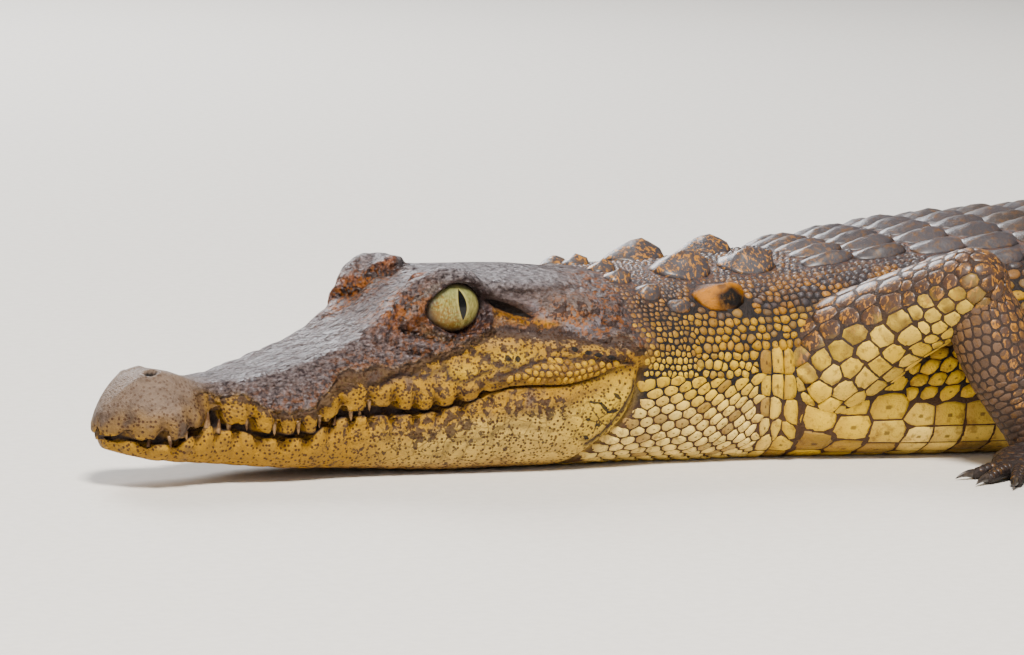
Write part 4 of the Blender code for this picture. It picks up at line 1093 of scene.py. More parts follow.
def shades(data, locals_here, radius, u, v):
    """Colours of the body's scales by where they grow: slate above, gold beside, cream below, with painted
    shade near the ground, under the front leg, on the lower scales' fronts and under the side scute's keel.
    """
    count, per = radius.shape
    station, share, kind = data[:, 0], data[:, 1], data[:, 10]
    shield, orange, cheek_bead = (kind == -1) | (kind == 2), kind == 1, kind == -2
    luck = dice.random(count)
    middle = locals_here[:, 0]
    swirl, fine = cloud(middle, 9, 4), cloud(middle, 3.5, 9)
    temple = spot(station, share * 100, (149, 31), (13, 8.5))
    tail = ease(station, 470, 520)
    band = ease(tail_wave(station) + 0.6 * swirl, -0.1, 0.5)
    flank_band = ease(np.sin((station - 250) / 62 * 2 * math.pi) + 0.7 * swirl, 0.3, 0.9)
    colour = layered(np.broadcast_to(np.array(SLATE), (count, 3)), [
        ((0.30, 0.13, 0.018), ease(share + 0.02 * swirl, 0.18, 0.26) * ease(fine + luck, 0.2, 0.9)),
        (GOLD, ease(share + 0.03 * swirl, 0.29, 0.36) * (0.35 + 0.65 * ease(luck, 0, 0.5))),
        (YELLOW, ease(share + 0.02 * swirl, 0.4, 0.47)),
        (CREAM, ease(share + 0.03 * swirl, 0.5, 0.6) * ease(station, 190, 175)),
        (CREAM, 0.7 * ease(share + 0.03 * swirl, 0.54, 0.64) * ease(station, 205, 225)),
        ((0.085, 0.046, 0.022), 0.9 * temple * (luck < 0.75)),
        ((0.11, 0.062, 0.035), 0.85 * ease(station, 152, 139) * ease(share, 0.46, 0.4) * (luck < 0.6)),
        ((0.44, 0.155, 0.0), orange),
        # Painted shade: the scales grow browner towards the bottom, near the ground.
        ((0.40, 0.22, 0.04), 0.55 * ease(share + 0.02 * swirl, 0.7, 0.9)),
        # Painted shade: the belly is darker and browner under the front leg.
        ((0.26, 0.13, 0.022),
         0.7 * ease(station, 226, 246) * ease(station, 360, 320) * ease(share, 0.6, 0.72)),
        (SLATE, shield),
        ((0.44, 0.235, 0.004), cheek_bead),
        ((0.14, 0.065, 0.018), 0.7 * ease(luck, 0.88, 0.94) * ease(share, 0.3, 0.36)),
        ((0.22, 0.14, 0.05),
         0.9 * tail * ease(share, 0.08, 0.3) * (1 - band) * (1 - ease(share, 0.75, 0.9))),
        ((0.02, 0.017, 0.015), 0.85 * tail * band * (1 - ease(share, 0.8, 0.95))),
        ((0.035, 0.025, 0.02),
         0.8 * ease(station, 245, 265) * (1 - tail) * flank_band * ease(share, 0.6, 0.4))])
    colour = colour * (0.8 + 0.35 * dice.random((count, 1)))
    smudge = ease(cloud(locals_here, 1.6, 12) + 0.5 * cloud(locals_here, 4, 13), 0.15, 0.5)
    smudge = smudge * ease(v, 0.4, -0.4)
    # Painted shadow cast by the side scute's keel: black in the hollow under it.
    painted_keel_shadow = ease(v, 0.0, 0.2) * ease(v, 0.9, 0.75) * ease(u, -0.45, -0.05) * ease(u, 0.9, 0.7)
    whole = layered(np.repeat(colour[:, None], per, axis=1), [
        # Painted shade: the lower scales are darker and browner towards their fronts.
        ((0.26, 0.115, 0.02), 0.45 * ease(u, 0.1, -0.8) * ease(share, 0.4, 0.47)[:, None]),
        ((0.025, 0.014, 0.01), 0.85 * smudge * spot(station, share * 100, (203, 46), (26, 9))[:, None]),
        ((0.08, 0.06, 0.058), orange[:, None] * ease(v, -0.1, -0.4)),
        (BLACK, orange[:, None] * (painted_keel_shadow + ease(radius, 0.84, 1)))])
    pale = np.maximum(0.5 * ease(share, 0.24, 0.34), 0.5 * orange) + 0.5 * ease(share, 0.44, 0.56)
    streaks = np.maximum(ease(share, 0.30, 0.22), temple) * ~(orange | cheek_bead)
    streaks = streaks * np.where(kind == 2, 1, 0.6) * (1 - 0.6 * tail) * (0.12 + 0.88 * ease(station, 214, 204))
    marks = np.stack(np.broadcast_arrays(radius, luck[:, None], pale[:, None], streaks[:, None]), axis=-1)
    return whole, marks


scale_finish, shader, wire = finish("scale_horn")
paint = wire.node("ShaderNodeAttribute", output=0, attribute_name="paint")
marks = wire.node("ShaderNodeAttribute", output=0, attribute_name="marks")
streaks = wire.node("ShaderNodeAttribute", output=3, attribute_name="marks")
split = marks.node("ShaderNodeSeparateColor", {0: marks})
rim, luck, pale = (Wire(wire.tree, split.socket.node.outputs[i]) for i in range(3))
lie = wire.node("ShaderNodeAttribute", output=1, attribute_name="lie")
blotch = lie.node("ShaderNodeTexNoise", {"Vector": lie, "Scale": 0.5, "Detail": 4.0, "Roughness": 0.65})
grain = lie.node("ShaderNodeTexNoise", {"Vector": lie, "Scale": 2.2, "Detail": 3.0, "Roughness": 0.6})
colour = (blotch.above(0.5, 0.68) * 0.6).mixed(paint, (0.15, 0.065, 0.008))
colour = (grain.above(0.62, 0.7) * 0.45).mixed(colour, (0.05, 0.022, 0.008))
long_lie = lie.node("ShaderNodeMapping", {0: lie, 3: (1, 1, 0.5)})
gold_streak = blotch.node("ShaderNodeTexNoise",
                          {"Vector": long_lie, "Scale": 1.0, "Detail": 3.0, "Distortion": 0.8}).above(0.54, 0.6)
colour = (gold_streak * streaks * 0.85).mixed(colour, (0.42, 0.17, 0.015))
colour = (rim.above(0.2, 0.1) * luck.above(0.45, 0.55) * 0.75).mixed(colour, (0.06, 0.025, 0.008))
# Painted shade: each scale darkens towards its edge, less on the pale lower scales.
edge = (rim + blotch * 0.3).above(1.06, 1.26) * (0.9 - pale.above(0.5, 1.0) * 0.45)
colour = edge.mixed(colour, (0.035, 0.018, 0.008))
lead(colour, shader, "Base Color")
lead(0.34 + grain * 0.22, shader, "Roughness")
shader.inputs["Specular IOR Level"].default_value = 0.2
shader.inputs["Coat Roughness"].default_value = 0.3
lead(pale.above(0.4, 0.0) * 0.5, shader, "Coat Weight")
lead(bump(blotch, 0.6, 0.6, bump(grain, 0.25, 0.9)), shader, "Normal")

LEVELS = ((0.5, 0.93), (0.8, 0.66), (1.0, 0.05))
BEAD = ((0.55, 0.85), (1.0, 0.0))
SHIELD = ((0.35, 0.95), (0.65, 0.8), (0.88, 0.5), (1.0, 0.05))
CHEEK_BOTTOM = [(94.5, 20.1), (99.5, 22.5), (105.6, 24.1), (111.5, 22.9), (118.6, 22.6), (126.1, 24.2),
                (131, 26), (136.5, 27.2)]
CHEEK_TOP = [(98, 24.4), (103.6, 26), (108.6, 28.4), (115, 29.5), (122.6, 29.3), (132, 28.2), (137.5, 27.4)]


def behind_jaw(station, share):
    """How far a place on the neck lies behind the edge of the lower jaw."""
    return station - float(jaw_end(wrap.at(np.array(station), np.array(share), 1)[2]))


def share_at(station, up):
    """Share of the way round at which the side of the body has a height."""
    row = wrap.places[int(round(station - wrap.stations[0])), 40:, 2]
    return float(np.interp(-up, -row, np.linspace(0, 1, 241)[40:]))


shields, beads, plates, tiles, cheek = Scales(), Scales(), Scales(), Scales(), Scales()
for side in (-1, 1):
    # nuchal plates behind the skull, and keeled plates along the back
    for share, station in ((0.06, 147), (0.15, 146), (0.23, 150.5)):
        shields.add(station, share, side, 4.2, 3.4, 0.8, keel=2.0, lean=0.4, square=2.2, kind=2)
    shields.add(168, 0.115, side, 9.6, 7.6, 0.8, keel=4.6, lean=0.5, square=2.0, kind=2)
    shields.add(188.5, 0.115, side, 9.0, 7.2, 0.8, keel=4.2, lean=0.5, square=2.0, kind=2)
    shields.add(171.5, 0.258, side, 8.6, 5.8, 0.6, keel=3.6, lean=0.9, square=2.0, kind=1)
    shields.add(157.5, 0.285, side, 3.8, 2.6, 0.8, keel=1.2, lean=0.5, square=2.1, kind=2)
    for row, station in enumerate(np.arange(209, 500, 15.3)):
        narrow = 0.75 + 0.25 * ease(station, 205, 255) * ease(station, 500, 440)
        for column, (from_middle, half) in enumerate(((4.9, 4.9), (14.4, 4.8), (23.6, 4.6), (32.2, 4.1))):
            if column == 3 and (row < 2 or row > 15):
                continue
            long, keel, square = (7.9, 1.7, 3.4) if column < 3 else (6.2, 1.2, 2.4)
            shields.add(station + 0.5 * dice.standard_normal(), from_middle * narrow / wrap.wide(station), side,
                        long, half * narrow, 0.8, keel=keel, lean=0.5, square=square, kind=-1)
    taken = [r for r in shields.rows if r[2] == side] + [(178, 0.29, side, 3.6, 2.8)]

    def free(station, share, size):
        across = wrap.wide(station)
        return all(((station - s) / (long + 0.4 * size)) ** 2
                   + ((share - g) * across / (wide + 0.4 * size)) ** 2 > 1
                   for s, g, _, long, wide, *_ in taken)

    # neck: small dark grains between the nuchal plates, then beads that turn gold and grow downwards
    for begin, end, part in ((136, 160, 0.8), (160, 237, 1.12)):
        share, row = 0.012, 0
        while share < 0.485:
            low = float(ease(share, 0.18, 0.4))
            pitch = (1.0 + 0.36 * low) * part
            station = max(begin, 136 + 8 * float(ease(share, 0.3, 0.1))) + (row % 2) * pitch
            while station < end:
                s = station + 0.24 * pitch * dice.standard_normal()
                g = share + 0.24 * pitch / wrap.wide(s) * dice.standard_normal()
                size = pitch * (0.8 + 0.5 * dice.random())
                if free(s, g, size) and behind_jaw(s, g) > 1.0 and not (g > 0.425 and s > 179):
                    beads.add(s, g, side, size * 1.06, size * 0.94,
                              (0.3 + 0.24 * float(ease(s, 145, 190))) * size,
                              turn=0.25 * dice.standard_normal() - 0.15, square=2.3)
                station += pitch * 1.75
            share += 1.6 * pitch / wrap.wide(0.5 * (begin + min(end, 220)))
            row += 1
    # throat: long tiles like bricks, in rows that climb backwards, steeply before the shoulder
    for row, share in enumerate(np.arange(0.49, 1.2, 0.0235)):
        station = 124 + (row % 2) * 2.3
        while station < 180:
            s = station + 0.25 * dice.standard_normal()
            g = share - 0.0019 * (s - 128) - 0.00008 * max(0, s - 150) ** 2 + 0.0015 * dice.standard_normal()
            slope = (0.0019 + 0.00016 * max(0, s - 150)) * wrap.wide(s)
            station += 4.7 - 1.0 * float(ease(s, 150, 175))
            if not 0.487 < g < 0.997:
                continue
            if behind_jaw(s, g) > 1.8:
                tiles.add(s, g, side, 3.1, 1.75, 0.45, lean=0.42, square=3.6, turn=-math.atan(slope))
    # collar: tall plates before the fold, and big ones behind it
    for station, half, step, first, last in ((181.6, 1.5, 0.056, 0.45, 0.63), (184.8, 1.5, 0.056, 0.45, 0.63),
                                             (188.4, 1.8, 0.056, 0.45, 0.63), (182.4, 2.2, 0.056, 0.66, 1),
                                             (187.6, 2.7, 0.056, 0.66, 1), (197.5, 4.4, 0.059, 0.415, 1),
                                             (206.4, 4.5, 0.06, 0.43, 1), (215.4, 4.5, 0.06, 0.5, 1)):
        for share in np.arange(first, last, step):
            tiles.add(station + 0.3 * dice.standard_normal(), share + 0.003 * dice.standard_normal(), side,
                      half * 1.4, 0.72 * step * wrap.wide(station), 0.5, lean=0.15, square=8)
    # flanks: ovals in rows with grains between, golden and oblique by the armpit
    for row, share in enumerate(np.arange(0.27, 0.56, 0.0265)):
        station = 216 + (row % 2) * 2.6 + 20 * float(ease(share, 0.4, 0.34))
        while station < 486:
            s = station + 0.5 * dice.standard_normal()
            arm = float(ease(s, 255, 235) * ease(share, 0.4, 0.46))
            size = 0.95 + 0.2 * dice.random() + 0.15 * float(ease(share, 0.3, 0.5))
            if not (share > 0.49 and s < 221):
                plates.add(s, share, side, (2.45 + 0.2 * arm) * size, 1.75 * size * wrap.wide(s) / 135, 0.85,
                           turn=0.15 * dice.standard_normal() - 0.5 * arm, square=2.3, lean=0.2)
            station += 5.2
    # belly: rectangles in straight rows across
    for station in np.arange(224.2, 486, 8.4):
        for share in np.arange(0.585 if station < 250 else 0.565, 1.0, 0.0445):
            tiles.add(station + 0.25 * dice.standard_normal(), share, side, 5.6, 0.03 * wrap.wide(station), 0.6,
                      lean=0.15, square=9)
    # cheek: a patch of small round beads over the corner of the mouth
    for row, rise in enumerate(np.arange(1.4, 8, 1.55)):
        for s in np.arange(103 + 0.9 * (row % 2), 137.5, 1.8):
            bottom, top = (float(np.interp(s, *np.array(edge, float).T)) for edge in (CHEEK_BOTTOM, CHEEK_TOP))
            if bottom + rise < top - 0.5:
                along = s + 0.2 * dice.standard_normal()
                share = share_at(s, bottom + rise + 0.15 * dice.standard_normal())
                cheek.add(along, share, side, 1.25, 1.15, 0.5, square=2.1, kind=-2)
every = np.concatenate([group.array() for group in (shields, beads, tiles, plates, cheek)])
mirrored = []
for middle in (0, 1):
    close = every[np.abs(every[:, 1] - middle) < 0.12].copy()
    close[:, 1] = 2 * middle - close[:, 1]
    mirrored.append(close)
every = np.concatenate([every] + mirrored)
for name, group, sides, levels, slot in (
        ("back_shields", shields, 16, SHIELD, "back_skin"), ("neck_beads", beads, 10, BEAD, "flank_skin"),
        ("cheek_beads", cheek, 10, BEAD, "flank_skin"), ("flank_ovals", plates, 10, LEVELS, "flank_skin"),
        ("throat_and_belly_tiles", tiles, 12, LEVELS, "flank_skin")):
    grow(name, group, sides, levels, on_wrap, shades, scale_finish, slot, body_bake, every, wrap.wide)


# Scales of the tail -----------------------------------------------------------------------------------------
# Rings of plates round the tail, and over them the crest: upright blades in two rows that run together into
# one.

tail = Scales()
for side in (-1, 1):
    station = 490.0
    while station < 992:
        pitch = 8.25 if station < 640 else 7.75
        count = int(np.clip(round(wrap.wide(station) / 7.2), 3, 12))
        for k in range(count):
            share = (k + 0.5) / count
            tail.add(station, share, side, 0.5 * pitch * 0.98, 0.5 * 0.96 * wrap.wide(station) / count,
                     0.3 + 0.5 * float(ease(station, 990, 700)), square=5, lean=0.12)
        station += pitch
grow("tail_rings", tail, 12, LEVELS, on_wrap, shades, scale_finish, "back_skin", body_bake, tail.array(),
     wrap.wide)

CREST_START, CREST_JOIN, CREST_END = 501.0, 714.0, 985.0
blades = []
station = CREST_START
while station < CREST_END:
    if station < CREST_JOIN:
        part = (station - CREST_START) / (CREST_JOIN - CREST_START)
        blades += [(station, 16.5, side * (15.5 - 12.3 * part), 3.2 + 5.6 * part) for side in (-1, 1)]
        station += 16.5
    else:
        part = (station - CREST_JOIN) / (CREST_END - CREST_JOIN)
        blades.append((station, 15.5, 0.0, 9.2 - 5.6 * part))
        station += 15.5
BLADE = [(-0.5, -2.5), (-0.46, 0.12), (-0.3, 0.3), (-0.08, 0.55), (0.16, 0.82), (0.34, 0.98), (0.44, 1.0),
         (0.49, 0.86), (0.5, 0.5), (0.48, -2.5)]  # outline: shares of the pitch and of the height over the hide
crest_points, crest_faces = [], []
count = len(BLADE)
for station, pitch, out, tall in blades:
    upper = half_outline(np.array([station]))[0][:50]
    base = float(np.interp(abs(out), upper[:, 0], upper[:, 1])) - 0.8
    first = len(crest_points)
    for way in (-1, 1):
        start = len(crest_points)
        for share, thick in ((1.0, 0.0), (0.86, 0.7), (0.5, 1.0)):
            for s, u in BLADE:
                along = 0.12 + (s - 0.12) * share
                rise = u if u < 0 else 0.25 + (u - 0.25) * share
                up = base + (rise * tall if rise > -1 else rise)
                broad = (0.25 + 0.75 * (1 - max(0, min(1, u)))) * (0.55 + 1.1 * tall / 9)
                crest_points.append((station + along * pitch * 0.96, out + way * (0.12 + thick * broad), up))
        sheet = faces_between(3, count, start) + [tuple(range(start + 2 * count, start + 3 * count))]
        crest_faces += [face[::way] for face in sheet]
    far = first + 3 * count
    crest_faces += [(first + k, first + (k + 1) % count, far + (k + 1) % count, far + k) for k in range(count)]
flat = np.array(crest_points)
crest = skin_mesh("tail_crest", in_room(flat), crest_faces)
faces_outward(crest, 0)
dress(crest, scale_finish)
station = flat[:, 0]
dark = np.broadcast_to(np.array((0.05, 0.043, 0.042)), flat.shape)
dark = stain(dark, (0.14, 0.11, 0.06), ease(tail_wave(station), 0.2, -0.4) * 0.8)
attach(crest.data, "paint", "FLOAT_COLOR", np.c_[dark, np.ones(len(dark))])
attach(crest.data, "marks", "FLOAT_COLOR", np.tile((0.2, 0.5, 0, 0.3), (len(dark), 1)))
attach(crest.data, "lie", "FLOAT_VECTOR", flat)
layer = crest.data.uv_layers.new(name="OFBake")
index = np.empty(len(crest.data.loops), int)
crest.data.loops.foreach_get("vertex_index", index)
per = 6 * count
root = [(0.02 + 0.96 * station / LENGTH, 0.7 + 0.004 * np.sign(out)) for station, _, out, _ in blades]
root = np.repeat(np.array(root), per, axis=0)
centre = np.repeat(np.array([(station, 0) for station, *_ in blades]), per, axis=0)
spread = (flat[:, [0, 2]] - centre) / 12 * 0.0015
layer.data.foreach_set("uv", (root + spread)[index].ravel().astype(np.float32))
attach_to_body(crest, "root")


# Scales of the legs -----------------------------------------------------------------------------------------
# Large plates round the upper leg, yellow below, small dark ones round the lower leg and palm, and two rows
# over each toe.

def ring(tube, station):
    """Radius of a limb at a place along it, which shrinks round its ends."""
    size = tube.follow(tube.size, np.clip(station / tube.length, 0, 1)).mean(axis=-1)
    past = np.clip(np.maximum(-station, station - tube.length) / size, 0, 0.97)
    return size * np.sqrt(1 - past ** 2)


def leg_scales(tube, spans):
    """Scales on a limb. Each span has its start and end, in shares of the limb's length, then the scales' pitch
    along and across, their height and how square they are.
    """
    made = Scales()
    root, tip = tube.size[0].mean(), tube.length + tube.size[-1].mean()
    for first, last, long, wide, height, square in spans:
        station = max(first * tube.length, -root - 0.3 * long)
        row = 0
        while station < min(last * tube.length, tip + 0.3 * long):
            size = float(ring(tube, np.array(station)))
            count = max(4, int(round(2 * math.pi * size / wide)))
            for k in range(count):
                turn = 2 * math.pi * (k + 0.5 * (row % 2) + 0.1 * dice.standard_normal()) / count
                made.add(station + 0.1 * long * dice.standard_normal(), turn, 1, 0.72 * long,
                         0.72 * 2 * math.pi * size / count, height, square=square, lean=0.1 * height)
            station += long * 0.93
            row += 1
    return made


def on_tube(tube):
    root, tip = 0.998 * tube.size[0].mean(), tube.length + 0.998 * tube.size[-1].mean()

    def place(station, turn, across, side, lift):
        reach = np.clip(station, -root, tip)  # so that scales stop just short of the rounded ends' poles
        points, _ = tube.at(reach / tube.length, turn + across / ring(tube, station), lift)
        return points, on_body(points.reshape(-1, 3)).reshape(points.shape)
    return place


LEG_SPANS = {
    "upper": [(-0.25, 0.62, 6.0, 5.4, 0.34, 8), (0.62, 1.32, 4.4, 4.0, 0.3, 6)],
    "lower": [(-0.3, 0.62, 3.0, 2.7, 0.2, 2.8), (0.62, 1.1, 1.9, 3.8, 0.26, 3.5)],
    "palm": [(0.0, 1.1, 2.0, 2.2, 0.2, 3)],
}


def limb_shades(part, tube):
    def paint(data, locals_here, radius, u, v):
        count, per = radius.shape
        luck = dice.random(count)
        swirl = cloud(locals_here, 5, 5) + 0.6 * cloud(locals_here, 1.8, 6)
        share = data[:, :1] / tube.length
        upward = np.cos(data[:, 1])[:, None] + 0.3 * swirl
        under = ease(upward, 0.35, -0.05) * ease(share, 1.1, 0.97)
        if part == "upper":
            patch = ease(cloud(locals_here, 2.4, 14), -0.25, 0.25) * ease(upward, -0.5, 0.1)
            layers = [(YELLOW, under), (CREAM, 0.3 * under * luck[:, None]),
                      ((0.07, 0.033, 0.01), 0.85 * patch * under)]
        elif part == "lower":
            layers = [((0.24, 0.11, 0.02), 0.5 * ease(swirl, 0.1, 0.6)), ((0.20, 0.12, 0.07), 0.4 * under),
                      ((0.02, 0.013, 0.012), 0.75 * ease(share + 0.1 * swirl, 0.6, 1.0))]
        else:
            layers = [((0.018, 0.012, 0.011), 0.85 + 0 * swirl)]
        colour = layered(np.broadcast_to(np.array((0.06, 0.03, 0.018)), (count, per, 3)), layers)
        colour = colour * (0.8 + 0.4 * dice.random((count, 1, 1)))
        marks = np.zeros((count, per, 4))
        marks[..., 0], marks[..., 1], marks[..., 2] = radius, 0.4 * luck[:, None], under
        marks[..., 3] = 0.9 * (1 - under) * (part != "palm")
        return colour, marks
    return paint


def grow_on_limb(name, scales, sides, part, tube, corner, spread, crowd):
    """Scales on a limb; their patches of the map lie from a corner on, spread so far along and round."""
    def bake(data):
        return np.array(corner) + np.array(spread) * np.stack([data[:, 0] / tube.length, data[:, 1]], axis=-1)
    grow(name, scales, sides, LEVELS, on_tube(tube), limb_shades(part, tube), scale_finish, "back_skin", bake,
         crowd, lambda station: ring(tube, station))


for number, (name, parts) in enumerate(tubes.items()):
    for part, spans in LEG_SPANS.items():
        scales = leg_scales(parts[part], spans)
        turned = [scales.array() + np.eye(1, 11, 1) * turn for turn in (-2 * math.pi, 0, 2 * math.pi)]
        left = 0.03 + 0.24 * number + {"upper": 0.0, "lower": 0.085, "palm": 0.155}[part]
        grow_on_limb(f"{name}_{part}_leg_scales", scales, 10, part, parts[part], (left, 0.1), (0.06, 0.04),
                     np.concatenate(turned))
for number, (name, parts) in enumerate(tubes.items()):
    for digit, tube in enumerate(parts["toes"]):
        scales = Scales()
        for station in np.arange(0.3 * tube.length, tube.length, 1.7):
            for turn in (-0.75, 0.75):
                scales.add(station + 0.4 * (turn > 0), turn, 1, 1.0, 0.8 * float(ring(tube, np.array(station))),
                           0.22, square=4, lean=0.12)
        left = 0.03 + 0.24 * number + 0.035 * digit
        grow_on_limb(f"{name}_toe_{digit + 1}_leg_scales", scales, 8, "palm", tube, (left, 0.4), (0.02, 0.02),
                     scales.array())


# The claws ------------------------------------------------------------------------------------------------
# Bent points of dark horn on the three inner toes of each foot, growing out of the toes' ends.

horn_finish, shader, wire = finish("claw_horn")
place = wire.node("ShaderNodeTexCoord", output=3)
grown = place.node("ShaderNodeTexNoise", {"Vector": place, "Scale": 900.0, "Detail": 3.0})
lead(grown.above(0.35, 0.75).mixed((0.018, 0.013, 0.011), (0.075, 0.055, 0.042)), shader, "Base Color")
shader.inputs["Roughness"].default_value = 0.32
for name, ends in toe_ends.items():
    for number, (tip, way, radius) in enumerate(ends[:3], 1):
        base = tip + way * radius * 0.1
        long, across = radius * 2.9, np.cross(way, (0, 0, 1.0))
        shares = np.linspace(0, 1, 9)
        grid = []
        for t in shares:
            middle = base + way * long * t + np.array((0, 0, long * (0.26 * t - 0.42 * t * t)))
            size = radius * 0.62 * (1 - t) ** 0.75 + 0.05
            for k in range(12):
                turn = 2 * math.pi * k / 12
                point = middle + across * size * 0.72 * math.cos(turn) + np.array((0, 0, size * math.sin(turn)))
                grid.append((point[0], point[1], max(point[2], 0.02)))
        made = faces_between(9, 12) + [tuple(range(12))[::-1], tuple(range(96, 108))]
        claw = skin_mesh(f"{name}_horn_claw_{number}", grid, made)
        faces_outward(claw, 0)
        dress(claw, horn_finish)
        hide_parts(f"{name}_claw_{number}")
        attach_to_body(claw, "root")


# The teeth ------------------------------------------------------------------------------------------------
# Small blunt cones, stained brown, in the lips' edges. Most hang from the upper jaw, and two of the lower jaw's
# rise into the notch.

tooth_finish, shader, wire = finish("tooth_ivory")
place = wire.node("ShaderNodeTexCoord", output=3)
stained = place.node("ShaderNodeTexNoise", {"Vector": place, "Scale": 500.0, "Detail": 4.0})
lead(stained.above(0.4, 0.62).mixed((0.24, 0.14, 0.06), (0.07, 0.03, 0.01)), shader, "Base Color")
shader.inputs["Roughness"].default_value = 0.4
shader.inputs["Specular IOR Level"].default_value = 0.25
TEETH = [(12.8, -2.4, 0.75), (17.5, -1.8, 0.6), (30.6, -3.2, 0.8), (34.6, -2.6, 0.7), (41.1, -2.8, 0.8),
         (47.4, -2.8, 0.8), (53.5, -2.6, 0.7), (62.5, -2.4, 0.7), (67.5, -2.2, 0.7), (24.3, 3.6, 1.0),
         (27.6, 3.0, 0.8), (8.6, 1.8, 0.6), (58.5, 2.0, 0.6), (65.2, 1.8, 0.6)]  # station, rise, half width
tooth_points, tooth_faces = [], []
for side in (-1, 1):
    for station, rise, thick in TEETH:
        upper, lower = (float(v[0]) for v in lips(np.array([station])))
        out = float(profile(TOOTH_OUT if rise < 0 else JAW_OUT, station)) - (1.5 if rise < 0 else 0.9)
        root = upper + 0.8 if rise < 0 else lower - 0.6
        start = len(tooth_points)
        for t in np.linspace(0, 1, 7):
            size = thick * math.sqrt(1 - t) * (1 - 0.25 * t) + 0.03
            for k in range(10):
                turn = 2 * math.pi * k / 10
                place = out + 0.8 * size * math.sin(turn)
                tooth_points.append((station + size * math.cos(turn) + 0.25 * t, side * place,
                                     root + (rise + math.copysign(0.7, rise)) * t))
        tooth_faces += faces_between(7, 10, start)
        tooth_faces += [tuple(range(start, start + 10))[::-1], tuple(range(start + 60, start + 70))]
teeth = skin_mesh("teeth", in_room(tooth_points), tooth_faces)
faces_outward(teeth, 0)
dress(teeth, tooth_finish)
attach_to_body(teeth, "root")


# The eyes -------------------------------------------------------------------------------------------------
# Wet, bulging eyeballs behind the lids. The iris fills the opening: pale green-gold, brown low in front, with
# an upright slit.

EYE_AT, EYE_RADII = (93.2, 14.2, 42.0), (9.2, 6.5, 7.5)
PUPIL = (93.8, 43.0)
eye_finish, shader, wire = finish("iris")
gaze = wire.node("ShaderNodeAttribute", output=1, attribute_name="gaze")
split = gaze.node("ShaderNodeSeparateXYZ", {0: gaze})
along, over, away = (Wire(wire.tree, split.socket.node.outputs[i]) for i in range(3))
shadow = away.above(4.4, 6.2)
fibres = gaze.node("ShaderNodeMapping", {0: gaze, 3: (1.4, 0.35, 1)})
fibres = fibres.node("ShaderNodeTexNoise", {"Vector": fibres, "Scale": 1.6, "Detail": 5.0, "Roughness": 0.65})
freckles = gaze.node("ShaderNodeTexNoise", {"Vector": gaze, "Scale": 1.1, "Detail": 5.0, "Roughness": 0.7})
colour = fibres.above(0.3, 0.7).mixed((0.12, 0.105, 0.022), (0.33, 0.29, 0.095))
colour = (over.above(-1.0, 5.0) * 0.6).mixed(colour, (0.15, 0.18, 0.065))
brown = (along * -0.045 - over * 0.06 + freckles * 2.2).above(1.3, 1.5)
colour = (brown * 0.75).mixed(colour, (0.17, 0.07, 0.008))
edge = over * over * 0.0625
width = (1.0 - edge).sum("MAXIMUM", 1.0 - edge, 0.0) * 1.25
skew = along + over * 0.13
slit = (skew.sum("ABSOLUTE", skew) - width).above(0.12, -0.12)
glow = (skew.sum("ABSOLUTE", skew) - width).above(0.9, 0.1)
colour = (glow * 0.3).mixed(colour, (0.6, 0.5, 0.16))
colour = slit.mixed(colour, (0.004, 0.004, 0.004))
colour = shadow.mixed(colour, (0.03, 0.02, 0.015))
lead(colour, shader, "Base Color")
shader.inputs["Roughness"].default_value = 0.25
shader.inputs["Specular IOR Level"].default_value = 0.15
shader.inputs["Coat Weight"].default_value = 0.22
shader.inputs["Coat Roughness"].default_value = 0.03
for side, word in ((-1, "left"), (1, "right")):
    bpy.ops.object.select_all(action="DESELECT")
    bpy.ops.mesh.primitive_uv_sphere_add(segments=72, ring_count=48, radius=1)
    eye = bpy.context.object
    eye.name = eye.data.name = f"{word}_eyeball"
    unit = np.array([v.co for v in eye.data.vertices])[:, [0, 2, 1]]  # the poles look out to the sides
    unit[:, 1] *= side
    place = np.array((EYE_AT[0], side * EYE_AT[1], EYE_AT[2])) + unit * EYE_RADII
    eye.data.vertices.foreach_set("co", (in_room(place) * MM).ravel())
    inward = place[:, 1] * side < EYE_AT[1]
    from_middle = np.hypot((place[:, 0] - EYE[0]) * 0.78, place[:, 2] - EYE[1]) + 9 * inward
    attach(eye.data, "gaze", "FLOAT_VECTOR",
           np.c_[place[:, 0] - PUPIL[0], place[:, 2] - PUPIL[1], from_middle])
    shape = bmesh.new()
    shape.from_mesh(eye.data)
    bmesh.ops.recalc_face_normals(shape, faces=shape.faces)
    shape.to_mesh(eye.data)
    shape.free()
    eye.data.shade_smooth()
    eye.data.materials.append(eye_finish)
    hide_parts(f"{word}_eye")
    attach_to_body(eye, "root")


# Floor, light and camera -----------------------------------------------------------------------------------
# A plain pale floor, a strong lamp high in front, a weak one low in front and a wide one behind, and the camera
# low beside the head.

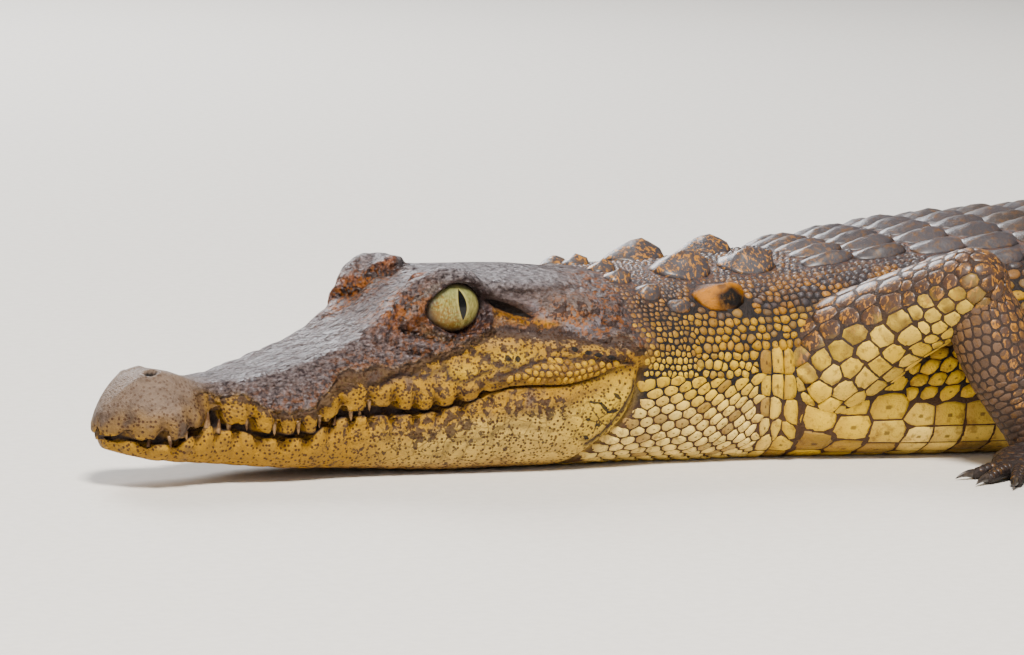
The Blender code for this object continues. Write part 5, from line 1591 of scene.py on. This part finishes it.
bpy.ops.object.select_all(action="DESELECT")
bpy.ops.mesh.primitive_plane_add(size=14)
floor = bpy.context.object
floor.name = "floor"
floor_finish, shader, wire = finish("pale_floor")
place = wire.node("ShaderNodeTexCoord", output=3)
speckle = place.node("ShaderNodeTexNoise", {"Vector": place, "Scale": 300.0, "Detail": 3.0})
lead(speckle.above(0.3, 0.7).mixed((0.70, 0.66, 0.60), (0.74, 0.70, 0.64)), shader, "Base Color")
shader.inputs["Roughness"].default_value = 0.8
floor.data.materials.append(floor_finish)


def lamp(name, place, target, size, power, colour):
    light = bpy.data.lights.new(name, "AREA")
    light.size, light.energy, light.color = size, power, colour
    made = bpy.data.objects.new(name, light)
    bpy.context.scene.collection.objects.link(made)
    made.location = place
    made.rotation_euler = (Vector(target) - Vector(place)).to_track_quat("-Z", "Y").to_euler()


lamp("high_lamp", (-0.45, -0.8, 1.45), (-0.15, 0, 0), 0.45, 62, (1.0, 0.96, 0.9))
lamp("low_lamp", (-1.1, -1.3, 0.6), (-0.15, 0, 0), 0.8, 7, (1.0, 0.98, 0.95))
lamp("rim_lamp", (-0.15, 1.5, 0.95), (-0.15, 0, 0), 0.9, 42, (0.95, 0.97, 1.0))
world = bpy.data.worlds.new("room")
world.use_nodes = True
world.node_tree.nodes["Background"].inputs["Color"].default_value = (0.9, 0.93, 1.0, 1)
world.node_tree.nodes["Background"].inputs["Strength"].default_value = 0.22
bpy.context.scene.world = world

bearing, height, roll = math.radians(-25), math.radians(7.5), math.radians(1.6)
back = Vector((math.sin(bearing) * math.cos(height), -math.cos(bearing) * math.cos(height), math.sin(height)))
right = Vector((math.cos(bearing), math.sin(bearing), 0))
camera = bpy.data.objects.new("camera", bpy.data.cameras.new("camera"))
bpy.context.scene.collection.objects.link(camera)
camera.location = Vector(in_room((123.5, 0, 33.2))) * MM + back * 1.5
upright = Matrix((right, back.cross(right), back)).transposed()
camera.rotation_euler = (upright @ Matrix.Rotation(roll, 3, "Z")).to_euler()
camera.data.lens, camera.data.sensor_width = 205, 36
camera.data.clip_end = 30
bpy.context.scene.camera = camera
